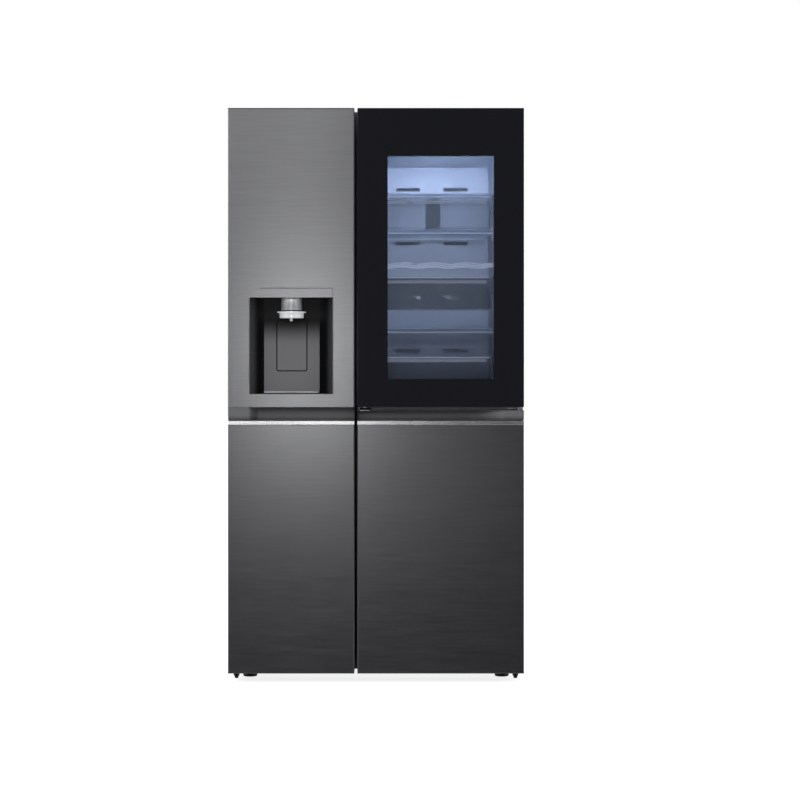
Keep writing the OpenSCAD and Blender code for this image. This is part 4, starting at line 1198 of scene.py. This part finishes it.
def filter_piece():
    head_low, head_high = solids("water_filter")[0]
    body_low, body_high = solids("water_filter")[-1]
    if body_high.y - body_low.y < head_high.y - head_low.y:
        (head_low, head_high), (body_low, body_high) = (body_low, body_high), (head_low, head_high)
    x, z = (body_low.x + body_high.x) / 2, (body_low.z + body_high.z) / 2
    r = (body_high.x - body_low.x) / 2
    y0, y1 = body_low.y, body_high.y
    profile = [(0, y0), (r * 0.55, y0), (r * 0.62, y0 + 2 * MM), (r * 0.9, y0 + 4 * MM), (r, y0 + 9 * MM),
               (r, y0 + 30 * MM), (r * 0.93, y0 + 33 * MM),
               (r * 0.93, y0 + 60 * MM), (r, y0 + 63 * MM), (r, y1), (0, y1)]
    piece = Piece("filter_cartridge").lathe("Y", x, z, profile, white_plastic, sides=48)
    piece.box((x - 2.5 * MM, y0 - 3 * MM, z - r * 0.5), (x + 2.5 * MM, y0 + 2 * MM, z + r * 0.5),
              grey_plastic, bevel=1 * MM)
    piece.box(head_low, head_high, white_plastic, bevel=4 * MM, segments=3)
    piece.finish("cabinet", "white_plastic", ["water_filter"])


def duct_grille():
    """Guard over the freezer fan's opening: rings on spokes."""
    low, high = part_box("evaporator_fan")
    x, z = (low.x + high.x) / 2, (low.z + high.z) / 2
    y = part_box("duct_covers")[0].y - 1.5 * MM
    grille = Piece("fan_guard")
    for r in (14, 24, 34, 44, 56):
        circle = [(x + r * MM * math.cos(TURN * i / 48), y, z + r * MM * math.sin(TURN * i / 48))
                  for i in range(48)]
        grille.tube(circle, 1.6 * MM, liner_white, sides=10, closed=True)
    for i in range(6):
        a = math.pi * i / 3 + 0.3
        grille.tube([(x + 12 * MM * math.cos(a), y, z + 12 * MM * math.sin(a)),
                     (x + 57 * MM * math.cos(a), y, z + 57 * MM * math.sin(a))], 1.6 * MM, liner_white)
    grille.lathe("Y", x, z, [(0, y - 2 * MM), (11 * MM, y - 2 * MM), (14 * MM, y), (14 * MM, y + 2 * MM),
                             (0, y + 2 * MM)], liner_white)
    grille.finish("cabinet", "liner", smooth=60)


# ---- Ice and water in the freezer door ----

def auger_piece():
    """A helical flight on its shaft."""
    low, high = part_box("ice_auger")
    y, z = (low.y + high.y) / 2, (low.z + high.z) / 2
    piece = Piece("auger_screw").rod("X", y, z, low.x, high.x, 5.8 * MM, grey_plastic, bevel=0.8 * MM)
    radius, pitch, thick, sides = 29 * MM, 48 * MM, 4 * MM, 24
    length = high.x - low.x - 36 * MM
    turns = length / pitch
    rings = []
    for i in range(int(turns * sides) + 1):
        a = TURN * i / sides
        x = low.x + 16 * MM + pitch * i / sides
        c, s = math.cos(a), math.sin(a)
        rings.append([(x + dx, y + rr * c, z + rr * s) for rr,
                      dx in ((5 * MM, 0), (radius - 1 * MM, 0), (radius, thick / 2),
                             (radius - 1 * MM, thick), (5 * MM, thick))])
    piece.loft(rings, grey_plastic)
    piece.finish("ice_auger", "grey_plastic", ["ice_auger"], smooth=50)


def machine_pieces():
    """Compressor shell with its weld, feet and pipes."""
    cx, cy = 210 * MM, 240 * MM
    piece = Piece("compressor_can")
    profile = [(0, 68), (52, 68), (62, 71), (69, 77), (74, 88), (76, 104), (76.2, 126), (78.4, 127.5),
               (78.4, 131.5), (76, 133), (75.4, 150), (73, 168), (67, 184),
               (56, 196), (40, 204), (20, 208), (0, 208.5)]
    piece.lathe("Z", cx, cy, in_metres(profile), gloss_black, sides=72)
    piece.box((cx - 95 * MM, cy - 62 * MM, 64 * MM), (cx + 95 * MM, cy + 62 * MM, 67 * MM), gloss_black,
              bevel=1 * MM)
    for sx in (-82, 82):
        for sy in (-50, 50):
            grommet = [(4.6, 50), (11, 50), (12, 51), (12, 55), (9.5, 57), (9.5, 60), (12, 62), (12, 63.6),
                       (4.6, 63.6)]
            piece.lathe("Z", cx + sx * MM, cy + sy * MM, in_metres(grommet), rubber, closed=True)
            nut = [(0, 67), (8, 67), (8, 72), (6, 73), (0, 73)]
            piece.lathe("Z", cx + sx * MM, cy + sy * MM, in_metres(nut), zinc_steel, sides=6)
    piece.box((286.4 * MM, 205 * MM, 100 * MM), (310 * MM, 275 * MM, 160 * MM), dark_plastic, bevel=3 * MM,
              segments=3)
    piece.finish("cabinet", "black_plastic", ["compressor"])
    pipes = Piece("refrigerant_pipes")

    def bend(points, radius, r, material):
        pipes.tube(fillet(points, radius), r, material, sides=14)

    bend([(160, 200, 120), (128, 180, 120), (128, 180, 232), (128, 320, 232), (40, 320, 232),
          (40, 352, 200)], 14, 3 * MM, copper)
    bend([(160, 262, 150), (112, 270, 150), (112, 270, 212), (70, 330, 212), (70, 330, 80), (-20, 346, 80)],
         12, 4 * MM, copper)
    bend([(240, 300, 190), (240, 318, 190), (240, 318, 240), (300, 318, 240)], 8, 2.5 * MM, copper)
    pipes.finish("cabinet", "aluminium", smooth=60)


def fillet(points, radius, steps=5):
    """A path in millimetres with its corners rounded, given back in metres."""
    points = [Vector(p) for p in points]
    path = [points[0]]
    for before, corner, after in zip(points, points[1:], points[2:]):
        into, out = (before - corner), (after - corner)
        reach = min(radius, into.length * 0.45, out.length * 0.45)
        start, end = corner + into.normalized() * reach, corner + out.normalized() * reach
        for i in range(steps + 1):
            t = i / steps
            path.append(start.lerp(corner, t).lerp(corner.lerp(end, t), t))
    path.append(points[-1])
    return [p * MM for p in path]


def fan_piece(name, node, axis, hub, tip, blades):
    """Hub with swept, twisted blades."""
    low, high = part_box(node)
    index = {"X": 0, "Y": 1}[axis]
    a0, a1 = low[index], high[index]
    mid = [(low[i] + high[i]) / 2 for i in range(3)]
    piece = Piece(name)
    u, v = (mid[1], mid[2]) if axis == "X" else (mid[0], mid[2])
    length = {"X": 26 * MM, "Y": 18 * MM}[axis]
    centre = (a0 + a1) / 2
    h0, h1 = centre - length / 2, centre + length / 2
    profile = [(3.1 * MM, h0 + 2 * MM), (hub - 3 * MM, h0 + 0.5 * MM), (hub - 0.8 * MM, h0 + 1 * MM),
               (hub, h0 + 3 * MM), (hub, h1), (3.1 * MM, h1)]
    piece.lathe(axis, u, v, profile, dark_plastic, sides=48, closed=True)
    for k in range(blades):
        rings = []
        for i in range(9):
            t = i / 8
            r = hub - 1 * MM + (tip - hub) * t
            sweep = TURN * k / blades + 0.28 * t * t
            width = (0.55 + 0.35 * t) * TURN / blades * 0.62
            ring = []
            for j, side in [(j, 1) for j in range(7)] + [(j, -1) for j in range(6, -1, -1)]:
                s = j / 6 - 0.5
                angle = sweep + width * s
                rise = centre + length * 0.42 * -2 * s * (1 - 0.25 * t) + side * 0.7 * MM * (1.05
                        - abs(2 * s))
                ring.append(on_plane(axis, u + r * math.cos(angle), v + r * math.sin(angle), rise))
            rings.append(ring)
        piece.loft(rings, dark_plastic)
    piece.finish(node, "dark_plastic", [node], smooth=50)


# ---- Under and behind ----

def foot_piece(name, node):
    low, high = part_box(node)
    x, y = (low.x + high.x) / 2, (low.y + high.y) / 2
    profile = [(0, 0), (19, 0), (21, 1), (21.5, 3), (21.5, 8), (20.5, 10), (15, 10.6), (14, 11.5), (14, 18),
               (5, 18.2)]
    thread_top, pitch = high.z / MM - 1, 1.75
    z = 19.0
    while z + pitch < thread_top:
        profile += [(5.3, z), (4.5, z + pitch / 2)]
        z += pitch
    profile += [(5.0, thread_top), (4, high.z / MM), (0, high.z / MM)]
    piece = Piece(name).lathe("Z", x, y, in_metres(profile), black_plastic, sides=48)
    for i in range(24):
        a = TURN * i / 24
        cx, cy = x + 21.3 * MM * math.cos(a), y + 21.3 * MM * math.sin(a)
        piece.rod("Z", cx, cy, 2.6 * MM, 8.2 * MM, 0.9 * MM, black_plastic, bevel=0.3 * MM, sides=10)
    piece.finish(node, "black_plastic", [node])


def rollers_piece():
    low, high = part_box("rear_rollers")
    y, z = (low.y + high.y) / 2, (low.z + high.z) / 2
    piece = Piece("roller_set").rod("X", y, z, low.x, high.x, 3.9 * MM, zinc_steel, bevel=0.6 * MM)
    foot_x = (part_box("foot_right")[0].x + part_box("foot_right")[1].x) / 2
    for s in (-1, 1):
        x = s * foot_x
        profile = [(4, x / MM - 9), (8, x / MM - 12), (13, x / MM - 12), (14, x / MM - 9.5),
                   (17, x / MM - 9.5), (18, x / MM - 12), (20, x / MM - 12), (21, x / MM - 10.5),
                   (21, x / MM + 10.5), (20, x / MM + 12), (18, x / MM + 12), (17, x / MM + 9.5),
                   (14, x / MM + 9.5), (13, x / MM + 12), (8, x / MM + 12), (4, x / MM + 9)]
        piece.lathe("X", y, z, in_metres(profile), dark_plastic, sides=48, closed=True)
    piece.finish("rear_rollers", "dark_plastic", ["rear_rollers"])


def screw(piece, u, v, at, r=3.4 * MM):
    """A domed screw head on the back, standing out from the plane y = at."""
    heights = [0, 0.9, 1.7, 2.1]
    radii = [r, r, r * 0.8, r * 0.45]
    profile = [(radius, at + h * MM) for radius, h in zip(radii, heights)]
    piece.lathe("Y", u, v, [(0, at)] + profile + [(0, at + 2.2 * MM)], zinc_steel, sides=24)


HINGE_X = 433.5 * MM       # the door pins, either side of the middle


def hinge_hardware():
    """Bolts of the top and bottom hinges."""
    low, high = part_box("door_hinges")
    piece = Piece("hinge_screws")
    for s in (-1, 1):
        x = s * HINGE_X
        for y in (-236, -206, -176):
            piece.rod("Z", x, y * MM, high.z - 0.2 * MM, high.z + 2.6 * MM, 5 * MM, zinc_steel,
                      bevel=0.5 * MM, sides=6)
        for y in (-238, -212):
            piece.rod("Z", x, y * MM, low.z + 10.5 * MM, low.z + 14.3 * MM, 5.5 * MM, zinc_steel,
                      bevel=0.5 * MM, sides=6)
    piece.finish("cabinet", "hinge_steel")


BEAD = 14                  # half the width of a pressed bead in millimetres


def back_details():
    """Pressed beads in the back panel, and the screws that hold it and the machine cover."""
    low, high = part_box("back_panel")
    plate_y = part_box("machine_cover")[1].y
    cover_low, cover_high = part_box("machine_cover")
    piece = Piece("back_beads")
    for x in (-330, -165, 0, 165, 330):
        for z0, z1 in ((560, 980), (1060, 1440)):
            rings = []
            for inset, out in ((0, -0.2), (1.5, 1.2), (4, 2.2), (6.5, 2.5)):
                bead = rounded_rectangle((x - BEAD + inset) * MM, (x + BEAD - inset) * MM,
                                         (z0 + inset) * MM,
                                         (z1 - inset) * MM, (13.5 - inset) * MM, 6)
                rings.append([(u, plate_y + out * MM, v) for u, v in bead])
            piece.loft(rings, zinc_steel)
    for x in [-440 + 110 * i for i in range(9)]:
        screw(piece, x * MM, high.z - 10 * MM, plate_y)
        screw(piece, x * MM, low.z + 8 * MM, plate_y)
    for z in range(400, 1700, 215):
        for s in (-1, 1):
            screw(piece, s * 444 * MM, z * MM, plate_y)
    for x in (cover_low.x + 9 * MM, cover_high.x - 9 * MM):
        for z in (cover_low.z + 12 * MM, cover_high.z - 12 * MM):
            screw(piece, x, z, plate_y, r=4 * MM)
    piece.finish("cabinet", "zinc_steel")


def inlet_pins():
    low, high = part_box("power_inlet")
    piece = Piece("inlet_pins")
    x, z = (low.x + high.x) / 2, (low.z + high.z) / 2
    for dx, dz in ((-7, -2), (7, -2), (0, 3)):
        piece.box((x + (dx - 1) * MM, low.y + 7 * MM, z + (dz - 2) * MM),
                  (x + (dx + 1) * MM, high.y - 6 * MM, z + (dz + 2) * MM), copper, bevel=0.4 * MM)
    piece.finish("cabinet", "aluminium")


liner_grey = moulded("liner_grey", (0.5, 0.51, 0.53), 0.36, grain=700, depth=0.02)
drawer_front = clear("drawer_front", (0.7, 0.78, 0.88), 0.28, 0.8, roughness=0.1)
clear_trim = clear("clear_trim", (0.72, 0.8, 0.92), 0.55, 0.9, roughness=0.12)
gloss_black = moulded("gloss_black", (0.01, 0.01, 0.011), 0.22, contrast=0.02)

door_backs()
inner_door_body()
gasket_piece("freezer_gasket", "freezer_door_gasket", "freezer_door")
gasket_piece("fridge_gasket", "fridge_door_gasket", "fridge_door")
bins_piece("freezer_bins", "freezer_door_bins", "freezer_door")
bins_piece("fridge_bins", "fridge_door_bins", "fridge_door")
for drawer in ("freezer_drawer_upper", "freezer_drawer_lower", "crisper_upper", "crisper_lower"):
    drawer_piece(drawer + "_box", drawer)
cavities()
shelves_pieces()
bottle_rack_piece()
filter_piece()
duct_grille()
auger_piece()
machine_pieces()
fan_piece("freezer_fan_rotor", "evaporator_fan", "Y", 15 * MM, 47 * MM, 5)
fan_piece("condenser_fan_rotor", "condenser_fan", "X", 22 * MM, 75 * MM, 5)
foot_piece("left_foot", "foot_left")
foot_piece("right_foot", "foot_right")
rollers_piece()
hinge_hardware()
back_details()
inlet_pins()


# ---- CAD nodes that stay ----

for node, material, width in (
        ("outer_case", case_steel, 0.5 * MM), ("top_cover", dark_plastic, 2 * MM),
        ("back_panel", zinc_steel, 0.3 * MM),
        ("base_frame", zinc_steel, 0.4 * MM), ("cabinet_foam", foam_material, 0.4 * MM),
        ("duct_covers", liner_white, 1 * MM),
        ("evaporator", aluminium, 0.1 * MM), ("fan_motors", dark_plastic, 1 * MM),
        ("lamps", lamp_lens, 1 * MM),
        ("door_hinges", hinge_steel, 0.5 * MM), ("condenser", hinge_steel, 0.1 * MM),
        ("condenser_shroud", dark_plastic, 0.6 * MM),
        ("drain_pan", black_plastic, 1 * MM), ("machine_cover", zinc_steel, 0.3 * MM),
        ("water_valve", white_plastic, 1 * MM),
        ("power_inlet", black_plastic, 0.6 * MM), ("freezer_door_foam", foam_material, 0.4 * MM),
        ("freezer_door_caps", dark_plastic, 0.8 * MM),
        ("ice_maker_case", white_plastic, 2 * MM), ("ice_bin", clear_plastic, 1 * MM),
        ("ice_tray", white_plastic, 1 * MM),
        ("fridge_door_caps", dark_plastic, 0.8 * MM)):
    keep(node, material, width)
softbox("fridge_lamp", (0.19, 0.02, 1.672), (0.19, 0.0, 0.9), (0.3, 0.05), 40, (0.72, 0.78, 1.0),
        seen=False)
recess_x, nozzle_top = (nozzle[0].x + nozzle[1].x) / 2, nozzle[1].z
softbox("dispenser_lamp", (recess_x, front_y + 9 * MM, nozzle_top - 8 * MM),
        (recess_x, front_y + 46 * MM, nozzle_top - 50 * MM),
        (0.15, 0.01), 1.8, seen=False)
softbox("freezer_lamp", (-0.25, -0.16, 1.672), (-0.25, -0.1, 0.9), (0.2, 0.05), 40, (0.8, 0.87, 1.0),
        seen=False)
softbox("fridge_glow", (0.19, 0.245, 1.35), (0.19, -0.25, 1.2), (0.05, 0.6), 5, (1.0, 0.9, 0.9), seen=False)
